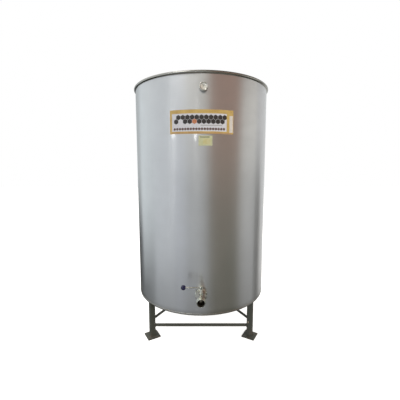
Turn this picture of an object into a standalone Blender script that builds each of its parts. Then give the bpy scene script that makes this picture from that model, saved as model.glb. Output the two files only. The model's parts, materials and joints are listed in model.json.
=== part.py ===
"""Honey maturing tank: a water-jacketed stainless vessel on a three-legged steel stand.

The origin is on the ground, under the middle of the footprint. +Z is up, and the outlet valve faces -Y.
The tank itself stands round the empty named tank_axis. Sizes are in metres.
"""

import math

import bmesh
import bpy
from mathutils import Matrix, Vector

# Overall sizes
SHEET_LENGTH = 3.000  # the flat sheet that is rolled into the outer wall, so the wall's girth
TOTAL_HEIGHT = 1.807
GROUND_CLEARANCE = 0.310
FIT_GAP = 0.0003  # between pieces that touch
WELD_DISTANCE = 0.00001
ROUND_STEPS = 96  # facets round the tank
FITTING_STEPS = 32  # facets round the valve and the filler
CREASE_ANGLE = math.radians(35)

# Sheet metal
WALL_SHEET = 0.0015
VESSEL_SHEET = 0.002
JACKET_GAP = 0.025
WALL_RADIUS = SHEET_LENGTH / math.tau + WALL_SHEET / 2
VESSEL_RADIUS = WALL_RADIUS - WALL_SHEET - JACKET_GAP
KNUCKLE_RADIUS = 0.010
KNUCKLE_STEPS = 4
BEAD_RADIUS = 0.0095
BEAD_PROUD = 0.010
BEAD_STEPS = 12
BEAD_OUTER_RADIUS = WALL_RADIUS + BEAD_PROUD
BEAD_CENTRE_HEIGHT = TOTAL_HEIGHT - BEAD_RADIUS
WALL_TOP = BEAD_CENTRE_HEIGHT - BEAD_RADIUS - FIT_GAP
TOP_RING_DROP = 0.006
TOP_RING_FALL = 0.002
JACKET_FLOOR_TOP = GROUND_CLEARANCE + VESSEL_SHEET
COURSE_SPLIT = 0.600  # height where the low stretch of each wall meets the high one
OUTLET_SEGMENT_HALF = 5.5 * math.tau / ROUND_STEPS  # half the turn of the low segment that holds the outlet

# Outlet and its ball valve, measured outwards from the wall along the outlet's axis
OUTLET_HEIGHT = GROUND_CLEARANCE + 0.156
OUTLET_BORE = 0.038
PIPE_RADIUS = 0.021
FERRULE_RADIUS = 0.028
FERRULE_START = 0.012
FERRULE_END = 0.020
NUT_RADIUS = 0.0385
NUT_START = 0.0085
NUT_END = 0.036
NUT_LIP = 0.003
NUT_SLOTS = 6
NUT_STEPS = 48
NUT_SLOT_WIDTH = 0.009
NUT_SLOT_DEPTH = 0.005
NUT_SLOT_TURN = math.radians(15)
THREAD_RADIUS = 0.0307
SHOULDER_RADIUS = 0.034
SHOULDER_END = 0.060
BODY_RADIUS = 0.028
BODY_FRONT = 0.113
STEM_REACH = 0.095
BALL_RADIUS = 0.0235
BALL_BORE = 0.032
BALL_FLAT = 0.0225
CAVITY_RADIUS = 0.0243
SPOUT_REACH = 0.138
SPOUT_COLLAR_RADIUS = 0.029
SPOUT_COLLAR_LENGTH = 0.007
SPOUT_NECK_RADIUS = 0.0225
SPOUT_RING_RADIUS = 0.0255
SPOUT_RING_LENGTH = 0.0105
SEAT_START = STEM_REACH + 0.013
ARC_STEPS = 6

# Stem and lever, measured upwards from the outlet's axis
BOSS_RADIUS = 0.0125
BOSS_TOP = 0.033
GLAND_RADIUS = 0.013
GLAND_TOP = 0.044
STEM_FOOT_RADIUS = 0.006
STEM_RADIUS = 0.008
STEM_BORE_RADIUS = 0.0066
STEM_CLEARANCE = 0.0008
HUB_RADIUS = 0.0115
HUB_START = 0.071
HUB_TOP = 0.086
LEVER_HEIGHT = 0.078
LEVER_REACH = 0.105
LEVER_RADIUS = 0.004
LEVER_SOCKET_DEPTH = 0.006
KNOB_RADIUS = 0.015
KNOB_SOCKET_DEPTH = 0.012

# Jacket filler near the rim
FILLER_HEIGHT = 1.711
FILLER_ASIDE = 0.014  # round the wall, from the line above the outlet
FILLER_TURN = (math.pi / 2, 0, FILLER_ASIDE / WALL_RADIUS)
FILLER_PIPE_RADIUS = 0.0212
FILLER_BORE_RADIUS = 0.018
FILLER_INSIDE = 0.010
FILLER_REACH = 0.018
CAP_RADIUS = 0.0255
CAP_START = 0.005
CAP_END = 0.026
CAP_BEVEL = 0.003
CAP_DIMPLE_RADIUS = 0.006
CAP_DIMPLE_DEPTH = 0.002
CAP_SLOTS = 6
CAP_SLOT_WIDTH = 0.005
CAP_SLOT_DEPTH = 0.003
CAP_SLOT_TURN = math.radians(30)

# Vessel floor, which falls towards the outlet
VESSEL_FLOOR_SHEET = 0.0025
VESSEL_FLOOR_FALL = 0.03
VESSEL_FLOOR_LOW = OUTLET_HEIGHT - OUTLET_BORE / 2 - 0.002

# Stand
LEG_AZIMUTHS = {"left": -150, "right": -30, "back": 90}
LEG_CIRCLE = 0.420
LEG_SIDE = 0.038
LEG_SHEET = 0.0025
LEG_CORNER = 0.004
CORNER_STEPS = 3
FOOT_SIDE = 0.095
FOOT_THICKNESS = 0.008
RAIL_RADII = {"front": 0.01065, "left": 0.0093, "right": 0.0093}
RAIL_SHEET = 0.0023
RAIL_HEIGHTS = {"front": 0.085, "left": 0.130, "right": 0.130}
RAIL_STEPS = 16
TOP_BAR_THICKNESS = 0.010
TOP_BAR_DEPTH = 0.038

# Labels on the front of the wall
LABEL_THICKNESS = 0.0005
LABEL_SPANS = {
    "label_panel": {"width": 0.390, "aside": 0.004, "low": 1.449, "high": 1.588},
    "small_label": {"width": 0.082, "aside": 0.026, "low": 1.380, "high": 1.438},
}
LABEL_STEPS = 16

# The footprint runs from the spout's mouth to the back of the rim, and the origin is under its middle.
TANK_AXIS_Y = (WALL_RADIUS + SPOUT_REACH - BEAD_OUTER_RADIUS) / 2

FINISHES = {
    "stainless_sheet": {"colour": (0.42, 0.42, 0.40), "roughness": 0.34, "metallic": 1.0},
    "stainless_fitting": {"colour": (0.50, 0.50, 0.47), "roughness": 0.28, "metallic": 1.0},
    "stand_steel": {"colour": (0.060, 0.058, 0.048), "roughness": 0.55, "metallic": 0.4},
    "knob_plastic": {"colour": (0.015, 0.018, 0.080), "roughness": 0.30, "metallic": 0.0},
    "label_film": {"colour": (0.62, 0.44, 0.12), "roughness": 0.45, "metallic": 0.0},
    "small_label_film": {"colour": (0.50, 0.47, 0.16), "roughness": 0.45, "metallic": 0.0},
}


def clear_scene():
    for obj in list(bpy.data.objects):
        bpy.data.objects.remove(obj, do_unlink=True)


def finish_named(name):
    """The material of one finish, made when it is first asked for."""
    found = bpy.data.materials.get(name)
    if found:
        return found
    made = bpy.data.materials.new(name)
    made.use_nodes = True
    shader = made.node_tree.nodes["Principled BSDF"]
    values = FINISHES[name]
    shader.inputs["Base Color"].default_value = (*values["colour"], 1.0)
    shader.inputs["Roughness"].default_value = values["roughness"]
    shader.inputs["Metallic"].default_value = values["metallic"]
    return made


def empty(name, parent=None, location=(0, 0, 0), turn=(0, 0, 0)):
    obj = bpy.data.objects.new(name, None)
    bpy.context.scene.collection.objects.link(obj)
    obj.parent = parent
    obj.location = location
    obj.rotation_euler = turn
    return obj


def piece(name, mesh, finish, parent=None, location=(0, 0, 0), turn=(0, 0, 0)):
    """One visible sub-part."""
    mesh.name = name
    mesh.materials.append(finish_named(finish))
    obj = bpy.data.objects.new(name, mesh)
    bpy.context.scene.collection.objects.link(obj)
    obj.parent = parent
    obj.location = location
    obj.rotation_euler = turn
    return obj


def tool(name, mesh, parent=None, location=(0, 0, 0), turn=(0, 0, 0)):
    """A helper solid that only cuts or joins, and never renders."""
    mesh.name = name
    obj = bpy.data.objects.new(name, mesh)
    bpy.context.scene.collection.objects.link(obj)
    obj.parent = parent
    obj.location = location
    obj.rotation_euler = turn
    obj.hide_render = True
    obj.display_type = "WIRE"
    return obj


def combine(obj, other, operation):
    modifier = obj.modifiers.new(f"{operation} {other.name}", "BOOLEAN")
    modifier.operation = operation
    modifier.solver = "EXACT"
    modifier.object = other


def mesh_from(bm):
    """A mesh with its normals facing out, shaded smooth apart from its creases."""
    bmesh.ops.remove_doubles(bm, verts=bm.verts, dist=WELD_DISTANCE)
    bmesh.ops.recalc_face_normals(bm, faces=bm.faces)
    mesh = bpy.data.meshes.new("shape")
    bm.to_mesh(mesh)
    bm.free()
    mesh.shade_smooth()
    mesh.set_sharp_from_angle(angle=CREASE_ANGLE)
    return mesh


def turned(profile, steps):
    """Turns (radius, height) points round Z. A profile that doesn't start on the axis is closed first."""
    bm = bmesh.new()
    verts = [bm.verts.new((radius, 0, height)) for radius, height in profile]
    edges = [bm.edges.new(ends) for ends in zip(verts, verts[1:])]
    if profile[0][0] > 0:
        edges.append(bm.edges.new((verts[-1], verts[0])))
    bmesh.ops.spin(
        bm, geom=verts + edges, cent=(0, 0, 0), axis=(0, 0, 1), angle=math.tau, steps=steps, use_merge=True
    )
    return mesh_from(bm)


def prism(outline, low, high):
    """A solid of this (x, y) outline between two heights."""
    bm = bmesh.new()
    base = bm.faces.new([bm.verts.new((x, y, low)) for x, y in outline])
    grown = bmesh.ops.extrude_face_region(bm, geom=[base])
    tops = [item for item in grown["geom"] if isinstance(item, bmesh.types.BMVert)]
    bmesh.ops.translate(bm, verts=tops, vec=(0, 0, high - low))
    return mesh_from(bm)


def hollow_prism(outer, inner, length):
    """A tube between two outlines that have the same number of points."""
    bm = bmesh.new()
    loops = [
        [bm.verts.new((x, y, height)) for x, y in outline]
        for outline, height in ((outer, 0), (outer, length), (inner, length), (inner, 0))
    ]
    for first, second in zip(loops, loops[1:] + loops[:1]):
        for i in range(len(outer)):
            after = (i + 1) % len(outer)
            bm.faces.new((first[i], first[after], second[after], second[i]))
    return mesh_from(bm)


def rim_slots(count, radius, size, turn):
    """Blocks for the slots round a nut's rim, in which a hook spanner grips."""
    bm = bmesh.new()
    for i in range(count):
        corners = bmesh.ops.create_cube(bm, size=1)["verts"]
        bmesh.ops.scale(bm, verts=corners, vec=size)
        bmesh.ops.translate(bm, verts=corners, vec=(radius, 0, 0))
        around = Matrix.Rotation(turn + math.tau * i / count, 3, "Z")
        bmesh.ops.rotate(bm, verts=corners, cent=(0, 0, 0), matrix=around)
    return mesh_from(bm)


def circle(radius, steps):
    return [
        (radius * math.cos(math.tau * i / steps), radius * math.sin(math.tau * i / steps))
        for i in range(steps)
    ]


def arc(centre, radius, start, end, steps):
    """Points on an arc, from one angle in degrees to another."""
    points = []
    for i in range(steps + 1):
        angle = math.radians(start + (end - start) * i / steps)
        points.append((centre[0] + radius * math.cos(angle), centre[1] + radius * math.sin(angle)))
    return points


def rounded_square(side, corner):
    middle = side / 2 - corner
    points = []
    for i, (x, y) in enumerate(((1, 1), (-1, 1), (-1, -1), (1, -1))):
        points += arc((x * middle, y * middle), corner, 90 * i, 90 * i + 90, CORNER_STEPS)
    return points


def rectangle(width, depth):
    return [(x * width / 2, y * depth / 2) for x, y in ((-1, -1), (1, -1), (1, 1), (-1, 1))]


def pipe_profile(outer, inner, low, high):
    return [(outer, high), (outer, low), (inner, low), (inner, high)]


def rod_profile(radius, low, high):
    return [(0, high), (radius, high), (radius, low), (0, low)]


def front_point(height, aside=0):
    """A point of the outer wall, from the tank's axis, this far round from its foremost line."""
    angle = aside / WALL_RADIUS
    return (WALL_RADIUS * math.sin(angle), -WALL_RADIUS * math.cos(angle), height)


def wedge(half_turn, height):
    """A block from the tank's axis out past its front, this far round to each side."""
    reach = 2 * WALL_RADIUS
    side, depth = reach * math.sin(half_turn), reach * math.cos(half_turn)
    return prism([(0, 0), (-side, -depth), (side, -depth)], 0, height)


def build_tank(axis):
    """The outer wall, the vessel inside it, and what closes the jacket between them."""
    ring_top = WALL_TOP - TOP_RING_DROP
    wall_low = GROUND_CLEARANCE + KNUCKLE_RADIUS + VESSEL_SHEET + FIT_GAP
    vessel_low = JACKET_FLOOR_TOP + FIT_GAP
    vessel_top = ring_top - TOP_RING_FALL - VESSEL_SHEET - FIT_GAP
    outlet_hole = tool(
        "outlet_hole",
        turned(rod_profile(PIPE_RADIUS + FIT_GAP, -2 * JACKET_GAP, JACKET_GAP), FITTING_STEPS),
        axis,
        front_point(OUTLET_HEIGHT),
        (math.pi / 2, 0, 0),
    )
    filler_hole = tool(
        "filler_hole",
        turned(rod_profile(FILLER_PIPE_RADIUS + FIT_GAP, -JACKET_GAP / 2, JACKET_GAP), FITTING_STEPS),
        axis,
        front_point(FILLER_HEIGHT, FILLER_ASIDE),
        FILLER_TURN,
    )
    segment = tool("outlet_segment", wedge(OUTLET_SEGMENT_HALF, COURSE_SPLIT), axis)
    rest_start = OUTLET_SEGMENT_HALF + FIT_GAP / VESSEL_RADIUS
    around_segment = tool("around_segment", wedge(rest_start, COURSE_SPLIT), axis)
    walls = {
        "outer_wall": (WALL_RADIUS, WALL_SHEET, wall_low, WALL_TOP),
        "vessel_wall": (VESSEL_RADIUS, VESSEL_SHEET, vessel_low, vessel_top),
    }
    for name, (radius, sheet, low, high) in walls.items():
        foot = pipe_profile(radius, radius - sheet, low, COURSE_SPLIT - FIT_GAP)
        front = piece(f"{name}_front", turned(foot, ROUND_STEPS), "stainless_sheet", axis)
        combine(front, segment, "INTERSECT")
        combine(front, outlet_hole, "DIFFERENCE")
        low_course = piece(f"{name}_low", turned(foot, ROUND_STEPS), "stainless_sheet", axis)
        combine(low_course, around_segment, "DIFFERENCE")
        rest = pipe_profile(radius, radius - sheet, COURSE_SPLIT, high)
        course = piece(name, turned(rest, ROUND_STEPS), "stainless_sheet", axis)
        if name == "outer_wall":
            combine(course, filler_hole, "DIFFERENCE")

    bead_centre = (BEAD_OUTER_RADIUS - BEAD_RADIUS, BEAD_CENTRE_HEIGHT)
    bead = arc(bead_centre, BEAD_RADIUS, 0, -360, BEAD_STEPS)[:-1]
    piece("rim_bead", turned(bead, ROUND_STEPS), "stainless_sheet", axis)

    ring_outer = WALL_RADIUS - WALL_SHEET - FIT_GAP
    ring_inner = VESSEL_RADIUS - VESSEL_SHEET
    ring = [
        (ring_outer, ring_top),
        (ring_outer, ring_top - VESSEL_SHEET),
        (ring_inner, ring_top - TOP_RING_FALL - VESSEL_SHEET),
        (ring_inner, ring_top - TOP_RING_FALL),
    ]
    piece("jacket_top_ring", turned(ring, ROUND_STEPS), "stainless_sheet", axis)

    build_vessel_floor(axis)

    knuckle_centre = (WALL_RADIUS - KNUCKLE_RADIUS, GROUND_CLEARANCE + KNUCKLE_RADIUS)
    inner_knuckle = KNUCKLE_RADIUS - VESSEL_SHEET
    floor_rise = knuckle_centre[1] + VESSEL_SHEET
    pan = [(0, JACKET_FLOOR_TOP)]
    pan += arc(knuckle_centre, inner_knuckle, -90, 0, KNUCKLE_STEPS)
    pan += [(WALL_RADIUS - VESSEL_SHEET, floor_rise), (WALL_RADIUS, floor_rise)]
    pan += arc(knuckle_centre, KNUCKLE_RADIUS, 0, -90, KNUCKLE_STEPS)
    pan += [(0, GROUND_CLEARANCE)]
    piece("jacket_floor", turned(pan, ROUND_STEPS), "stainless_sheet", axis)


def build_vessel_floor(axis):
    """A flat sheet inside the vessel that falls to the front, where the outlet is."""
    radius = VESSEL_RADIUS - VESSEL_SHEET - FIT_GAP
    mesh = prism(circle(radius, ROUND_STEPS), -VESSEL_FLOOR_SHEET, 0)
    for vertex in mesh.vertices:
        vertex.co.z += VESSEL_FLOOR_LOW + VESSEL_FLOOR_FALL * (vertex.co.y + radius)
    piece("vessel_floor", mesh, "stainless_sheet", axis)


def build_filler(axis):
    """The capped neck near the rim, through which the jacket is filled."""
    filler_axis = empty("filler_axis", axis, front_point(FILLER_HEIGHT, FILLER_ASIDE), FILLER_TURN)
    neck = pipe_profile(FILLER_PIPE_RADIUS, FILLER_BORE_RADIUS, -FILLER_INSIDE, FILLER_REACH)
    piece("filler_neck", turned(neck, FITTING_STEPS), "stainless_fitting", filler_axis)
    inner = FILLER_PIPE_RADIUS + FIT_GAP
    cap = [
        (0, CAP_END - CAP_DIMPLE_DEPTH),
        (CAP_DIMPLE_RADIUS, CAP_END - CAP_DIMPLE_DEPTH),
        (CAP_DIMPLE_RADIUS, CAP_END),
        (CAP_RADIUS - CAP_BEVEL, CAP_END),
        (CAP_RADIUS, CAP_END - CAP_BEVEL),
        (CAP_RADIUS, CAP_START),
        (inner, CAP_START),
        (inner, FILLER_REACH + FIT_GAP),
        (0, FILLER_REACH + FIT_GAP),
    ]
    filler_cap = piece("filler_cap", turned(cap, NUT_STEPS), "stainless_fitting", filler_axis)
    slots = rim_slots(CAP_SLOTS, CAP_RADIUS, (2 * CAP_SLOT_DEPTH, CAP_SLOT_WIDTH, 3 * CAP_END), CAP_SLOT_TURN)
    combine(filler_cap, tool("cap_slots", slots, filler_axis), "DIFFERENCE")


def build_outlet_pipe(outlet):
    """The pipe through the jacket, its ferrule, and the slotted nut that holds the valve to it."""
    bore = OUTLET_BORE / 2
    pipe_start = VESSEL_RADIUS - VESSEL_SHEET - WALL_RADIUS
    pipe = [
        (FERRULE_RADIUS, FERRULE_END),
        (FERRULE_RADIUS, FERRULE_START),
        (PIPE_RADIUS, FERRULE_START),
        (PIPE_RADIUS, pipe_start),
        (bore, pipe_start),
        (bore, FERRULE_END),
    ]
    piece("outlet_pipe", turned(pipe, FITTING_STEPS), "stainless_fitting", outlet)

    lip_end = NUT_START + NUT_LIP
    nut = [
        (NUT_RADIUS, NUT_END),
        (NUT_RADIUS, NUT_START),
        (PIPE_RADIUS + FIT_GAP, NUT_START),
        (PIPE_RADIUS + FIT_GAP, lip_end),
        (THREAD_RADIUS + FIT_GAP, lip_end),
        (THREAD_RADIUS + FIT_GAP, NUT_END),
    ]
    union_nut = piece("union_nut", turned(nut, NUT_STEPS), "stainless_fitting", outlet)
    slots = rim_slots(NUT_SLOTS, NUT_RADIUS, (2 * NUT_SLOT_DEPTH, NUT_SLOT_WIDTH, 2 * NUT_END), NUT_SLOT_TURN)
    combine(union_nut, tool("nut_slots", slots, outlet), "DIFFERENCE")


def build_valve_body(outlet, stem_axis):
    """The two halves of the valve's body, and the gland nut round its stem."""
    bore = OUTLET_BORE / 2
    body_profile = [
        (0, BODY_FRONT),
        (BODY_RADIUS, BODY_FRONT),
        (BODY_RADIUS, STEM_REACH - BOSS_RADIUS),
        (SHOULDER_RADIUS, SHOULDER_END),
        (SHOULDER_RADIUS, NUT_END + FIT_GAP),
        (THREAD_RADIUS, NUT_END + FIT_GAP),
        (THREAD_RADIUS, FERRULE_END + FIT_GAP),
        (0, FERRULE_END + FIT_GAP),
    ]
    body = piece("valve_body", turned(body_profile, FITTING_STEPS), "stainless_fitting", outlet)
    boss = tool("stem_boss", turned(rod_profile(BOSS_RADIUS, 0, BOSS_TOP), FITTING_STEPS), stem_axis)
    combine(body, boss, "UNION")

    cavity_meets_bore = math.degrees(math.acos(bore / CAVITY_RADIUS))
    waterway = [(0, BODY_FRONT + bore), (CAVITY_RADIUS, BODY_FRONT + bore)]
    waterway += arc((0, STEM_REACH), CAVITY_RADIUS, 0, -cavity_meets_bore, ARC_STEPS)
    waterway += [(bore, 0), (0, 0)]
    combine(body, tool("waterway", turned(waterway, FITTING_STEPS), outlet), "DIFFERENCE")
    stem_bore = turned(rod_profile(STEM_BORE_RADIUS, 0, 2 * BOSS_TOP), FITTING_STEPS)
    combine(body, tool("stem_bore", stem_bore, stem_axis), "DIFFERENCE")

    seat_angle = math.degrees(math.asin((SEAT_START - STEM_REACH) / CAVITY_RADIUS))
    collar_start = BODY_FRONT + FIT_GAP
    collar_end = collar_start + SPOUT_COLLAR_LENGTH
    ring_start = SPOUT_REACH - SPOUT_RING_LENGTH
    insert = CAVITY_RADIUS - 2 * FIT_GAP
    seat = arc((0, STEM_REACH), CAVITY_RADIUS, cavity_meets_bore, seat_angle, ARC_STEPS)
    spout = [
        (SPOUT_RING_RADIUS, SPOUT_REACH),
        (SPOUT_RING_RADIUS, ring_start),
        (SPOUT_NECK_RADIUS, ring_start - FIT_GAP),
        (SPOUT_NECK_RADIUS, collar_end),
        (SPOUT_COLLAR_RADIUS, collar_end),
        (SPOUT_COLLAR_RADIUS, collar_start),
        (insert, collar_start),
        (insert, SEAT_START),
    ]
    spout += seat[::-1]
    spout += [(bore, SPOUT_REACH)]
    piece("valve_spout", turned(spout, FITTING_STEPS), "stainless_fitting", outlet)
    gland = pipe_profile(GLAND_RADIUS, STEM_BORE_RADIUS, BOSS_TOP + FIT_GAP, GLAND_TOP)
    piece("gland_nut", turned(gland, FITTING_STEPS), "stainless_fitting", stem_axis)


def build_lever(stem_axis):
    """The ball, stem, hub, rod and knob, which turn together about the stem's axis."""
    ball_profile = [(0, BALL_FLAT)]
    flat_angle = math.degrees(math.asin(BALL_FLAT / BALL_RADIUS))
    ball_profile += arc((0, 0), BALL_RADIUS, flat_angle, -90, 2 * ARC_STEPS)[:-1]
    ball_profile += [(0, -BALL_RADIUS)]
    ball = piece("valve_ball", turned(ball_profile, FITTING_STEPS), "stainless_fitting", stem_axis)
    across = (0, math.pi / 2, 0)
    port = turned(rod_profile(BALL_BORE / 2, -2 * BALL_RADIUS, 2 * BALL_RADIUS), FITTING_STEPS)
    combine(ball, tool("ball_port", port, stem_axis, (0, 0, 0), across), "DIFFERENCE")

    shoulder = GLAND_TOP + STEM_CLEARANCE
    stem = [
        (0, HUB_START - FIT_GAP),
        (STEM_RADIUS, HUB_START - FIT_GAP),
        (STEM_RADIUS, shoulder),
        (STEM_FOOT_RADIUS, shoulder),
        (STEM_FOOT_RADIUS, BALL_FLAT + FIT_GAP),
        (0, BALL_FLAT + FIT_GAP),
    ]
    piece("valve_stem", turned(stem, FITTING_STEPS), "stainless_fitting", stem_axis)

    hub = piece(
        "lever_hub",
        turned(rod_profile(HUB_RADIUS, HUB_START, HUB_TOP), FITTING_STEPS),
        "stainless_fitting",
        stem_axis,
    )
    socket_floor = HUB_RADIUS - LEVER_SOCKET_DEPTH
    outwards = (0, -math.pi / 2, 0)
    hub_socket = turned(rod_profile(LEVER_RADIUS + FIT_GAP, socket_floor, LEVER_REACH), RAIL_STEPS)
    socket_tool = tool("hub_socket", hub_socket, stem_axis, (0, 0, LEVER_HEIGHT), outwards)
    combine(hub, socket_tool, "DIFFERENCE")

    rod_end = LEVER_REACH - KNOB_RADIUS + KNOB_SOCKET_DEPTH
    rod = turned(rod_profile(LEVER_RADIUS, socket_floor + FIT_GAP, rod_end), RAIL_STEPS)
    piece("lever_rod", rod, "stainless_fitting", stem_axis, (0, 0, LEVER_HEIGHT), outwards)

    knob_profile = [(0, KNOB_RADIUS)]
    knob_profile += arc((0, 0), KNOB_RADIUS, 90, -90, 2 * ARC_STEPS)[1:-1]
    knob_profile += [(0, -KNOB_RADIUS)]
    knob = piece(
        "lever_knob",
        turned(knob_profile, FITTING_STEPS),
        "knob_plastic",
        stem_axis,
        (-LEVER_REACH, 0, LEVER_HEIGHT),
        outwards,
    )
    knob_socket = turned(
        rod_profile(LEVER_RADIUS + FIT_GAP, -2 * KNOB_RADIUS, KNOB_SOCKET_DEPTH - KNOB_RADIUS + FIT_GAP),
        RAIL_STEPS,
    )
    combine(knob, tool("knob_socket", knob_socket, knob), "DIFFERENCE")


def leg_place(side):
    """The middle of a leg on the ground, from the tank's axis."""
    azimuth = math.radians(LEG_AZIMUTHS[side])
    return Vector((LEG_CIRCLE * math.cos(azimuth), LEG_CIRCLE * math.sin(azimuth), 0))


def build_legs(axis):
    """Three square tubes on flat foot plates. It returns a tool for each leg, to cope the rails."""
    leg_tools = {}
    leg_base = FOOT_THICKNESS + FIT_GAP
    leg_length = GROUND_CLEARANCE - FIT_GAP - leg_base
    outer = rounded_square(LEG_SIDE, LEG_CORNER)
    inner = rounded_square(LEG_SIDE - 2 * LEG_SHEET, LEG_CORNER - LEG_SHEET)
    coping = rounded_square(LEG_SIDE + 2 * FIT_GAP, LEG_CORNER + FIT_GAP)
    for side, azimuth in LEG_AZIMUTHS.items():
        place = leg_place(side)
        turn = (0, 0, math.radians(azimuth))
        foot = prism(rectangle(FOOT_SIDE, FOOT_SIDE), 0, FOOT_THICKNESS)
        piece(f"foot_plate_{side}", foot, "stand_steel", axis, place, turn)
        leg = hollow_prism(outer, inner, leg_length)
        piece(f"leg_{side}", leg, "stand_steel", axis, place + Vector((0, 0, leg_base)), turn)
        leg_tools[side] = tool(
            f"leg_coping_{side}", prism(coping, -FIT_GAP, GROUND_CLEARANCE), axis, place, turn
        )
    return leg_tools


def build_rails(axis, leg_tools):
    """Pipes low down and flat bars under the tank, each coped to fit between two legs."""
    spans = {"front": ("left", "right"), "left": ("left", "back"), "right": ("right", "back")}
    for name, (start, end) in spans.items():
        along = leg_place(end) - leg_place(start)
        heading = math.atan2(along.y, along.x)
        middle = (leg_place(start) + leg_place(end)) / 2
        outer = circle(RAIL_RADII[name], RAIL_STEPS)
        inner = circle(RAIL_RADII[name] - RAIL_SHEET, RAIL_STEPS)
        low_rail = piece(
            f"low_rail_{name}",
            hollow_prism(outer, inner, along.length),
            "stand_steel",
            axis,
            leg_place(start) + Vector((0, 0, RAIL_HEIGHTS[name])),
            (math.pi / 2, 0, heading + math.pi / 2),
        )
        bar_outline = rectangle(along.length, TOP_BAR_THICKNESS)
        bar_top = GROUND_CLEARANCE - FIT_GAP
        top_bar = piece(
            f"top_bar_{name}",
            prism(bar_outline, bar_top - TOP_BAR_DEPTH, bar_top),
            "stand_steel",
            axis,
            middle,
            (0, 0, heading),
        )
        for side in (start, end):
            combine(low_rail, leg_tools[side], "DIFFERENCE")
            combine(top_bar, leg_tools[side], "DIFFERENCE")


def build_labels(axis):
    """The bare film labels, which follow the wall's curve."""
    inner = WALL_RADIUS + FIT_GAP
    outer = inner + LABEL_THICKNESS
    for name, span in LABEL_SPANS.items():
        middle = math.degrees(span["aside"] / WALL_RADIUS) - 90
        half_angle = math.degrees(span["width"] / WALL_RADIUS / 2)
        outline = arc((0, 0), outer, middle - half_angle, middle + half_angle, LABEL_STEPS)
        outline += arc((0, 0), inner, middle + half_angle, middle - half_angle, LABEL_STEPS)
        finish = "label_film" if name == "label_panel" else "small_label_film"
        piece(name, prism(outline, span["low"], span["high"]), finish, axis)


def main():
    clear_scene()
    axis = empty("tank_axis", None, (0, TANK_AXIS_Y, 0))
    build_tank(axis)
    build_filler(axis)
    outlet = empty("outlet_axis", axis, front_point(OUTLET_HEIGHT), (math.pi / 2, 0, 0))
    stem_axis = empty("stem_axis", outlet, (0, 0, STEM_REACH), (-math.pi / 2, 0, 0))
    build_outlet_pipe(outlet)
    build_valve_body(outlet, stem_axis)
    build_lever(stem_axis)
    build_rails(axis, build_legs(axis))
    build_labels(axis)


main()
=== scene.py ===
"""Looks of a honey maturing tank: a jacketed stainless vessel on a three-legged steel stand.

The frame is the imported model, in metres, with +Z up, the origin on the ground and the outlet towards -Y.
"""

import json
import logging
import math
from collections.abc import Callable, Sequence
from dataclasses import dataclass, field
from enum import Enum

import bmesh
import bpy
from mathutils import Matrix, Vector


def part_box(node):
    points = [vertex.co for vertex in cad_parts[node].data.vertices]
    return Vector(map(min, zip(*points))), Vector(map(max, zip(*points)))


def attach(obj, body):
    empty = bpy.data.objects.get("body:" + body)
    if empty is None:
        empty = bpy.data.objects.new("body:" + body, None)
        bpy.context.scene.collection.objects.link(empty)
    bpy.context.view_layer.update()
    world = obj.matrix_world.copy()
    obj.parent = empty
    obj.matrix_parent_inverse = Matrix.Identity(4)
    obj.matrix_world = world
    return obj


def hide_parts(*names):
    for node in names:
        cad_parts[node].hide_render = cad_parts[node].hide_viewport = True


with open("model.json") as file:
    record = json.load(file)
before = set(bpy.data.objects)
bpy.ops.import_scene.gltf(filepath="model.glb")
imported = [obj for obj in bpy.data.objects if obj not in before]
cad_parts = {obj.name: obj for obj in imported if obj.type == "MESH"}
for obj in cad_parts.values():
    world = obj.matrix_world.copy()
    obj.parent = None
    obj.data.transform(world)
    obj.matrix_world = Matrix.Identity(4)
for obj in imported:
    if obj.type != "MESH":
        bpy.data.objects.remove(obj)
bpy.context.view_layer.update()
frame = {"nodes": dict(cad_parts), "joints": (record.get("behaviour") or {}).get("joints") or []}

LOG = logging.getLogger("tank")
MM = 0.001
UV_MAP = "metres"  # the name and the unit of every map
CREASE = math.radians(35)  # edges that turn by more than this stay sharp
WELD_DISTANCE = 1e-6
EASE_STEPS = 4
EASE_SHARE = 0.45  # how much of a side one of its rounded corners may take up
SQUARE = ((1, 1), (-1, 1), (-1, -1), (1, -1))

Mesh = bpy.types.Mesh
Shape = bmesh.types.BMesh
Tree = bpy.types.NodeTree
Socket = bpy.types.NodeSocket
Outputs = Sequence[Socket]  # found by number or by name
Point = tuple[float, float]
Corner = tuple[float, float, float]  # two coordinates and the radius that rounds the corner
Value = Socket | float | int | str | bool | tuple | bpy.types.Object | bpy.types.Material


class Body(Enum):
    """The bodies that a piece can ride on."""

    TANK = "tank"
    LEVER = "lever"


class Meet(Enum):
    """How one mesh meets the others."""

    CUT = "DIFFERENCE"
    JOIN = "UNION"
    CROSS = "INTERSECT"


def half_width(node: str) -> float:
    """Half the width of a CAD node, which is the radius of a round one."""
    return (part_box(node)[1].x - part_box(node)[0].x) / 2


WALL_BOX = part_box("outer_wall")
AXIS = Vector(((WALL_BOX[0].x + WALL_BOX[1].x) / 2, (WALL_BOX[0].y + WALL_BOX[1].y) / 2, 0))
WALL_RADIUS = half_width("outer_wall")
WALL_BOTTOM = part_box("outer_wall_low")[0].z
OUTLET_HEIGHT = (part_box("outlet_pipe")[0].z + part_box("outlet_pipe")[1].z) / 2
OUTWARDS = Matrix.Rotation(math.pi / 2, 4, "X")  # turns +Z to -Y
OUTLET_PLACE = Matrix.Translation(AXIS + Vector((0, -WALL_RADIUS, OUTLET_HEIGHT))) @ OUTWARDS
STEM_PLACE = Matrix.Translation(frame["joints"][0]["pos_m"])
CAP_SPOT = sum(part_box("filler_cap"), Vector()) / 2 - AXIS
FILLER_ASIDE = math.atan2(CAP_SPOT.x, -CAP_SPOT.y) * WALL_RADIUS
FILLER_HEIGHT = CAP_SPOT.z


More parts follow.
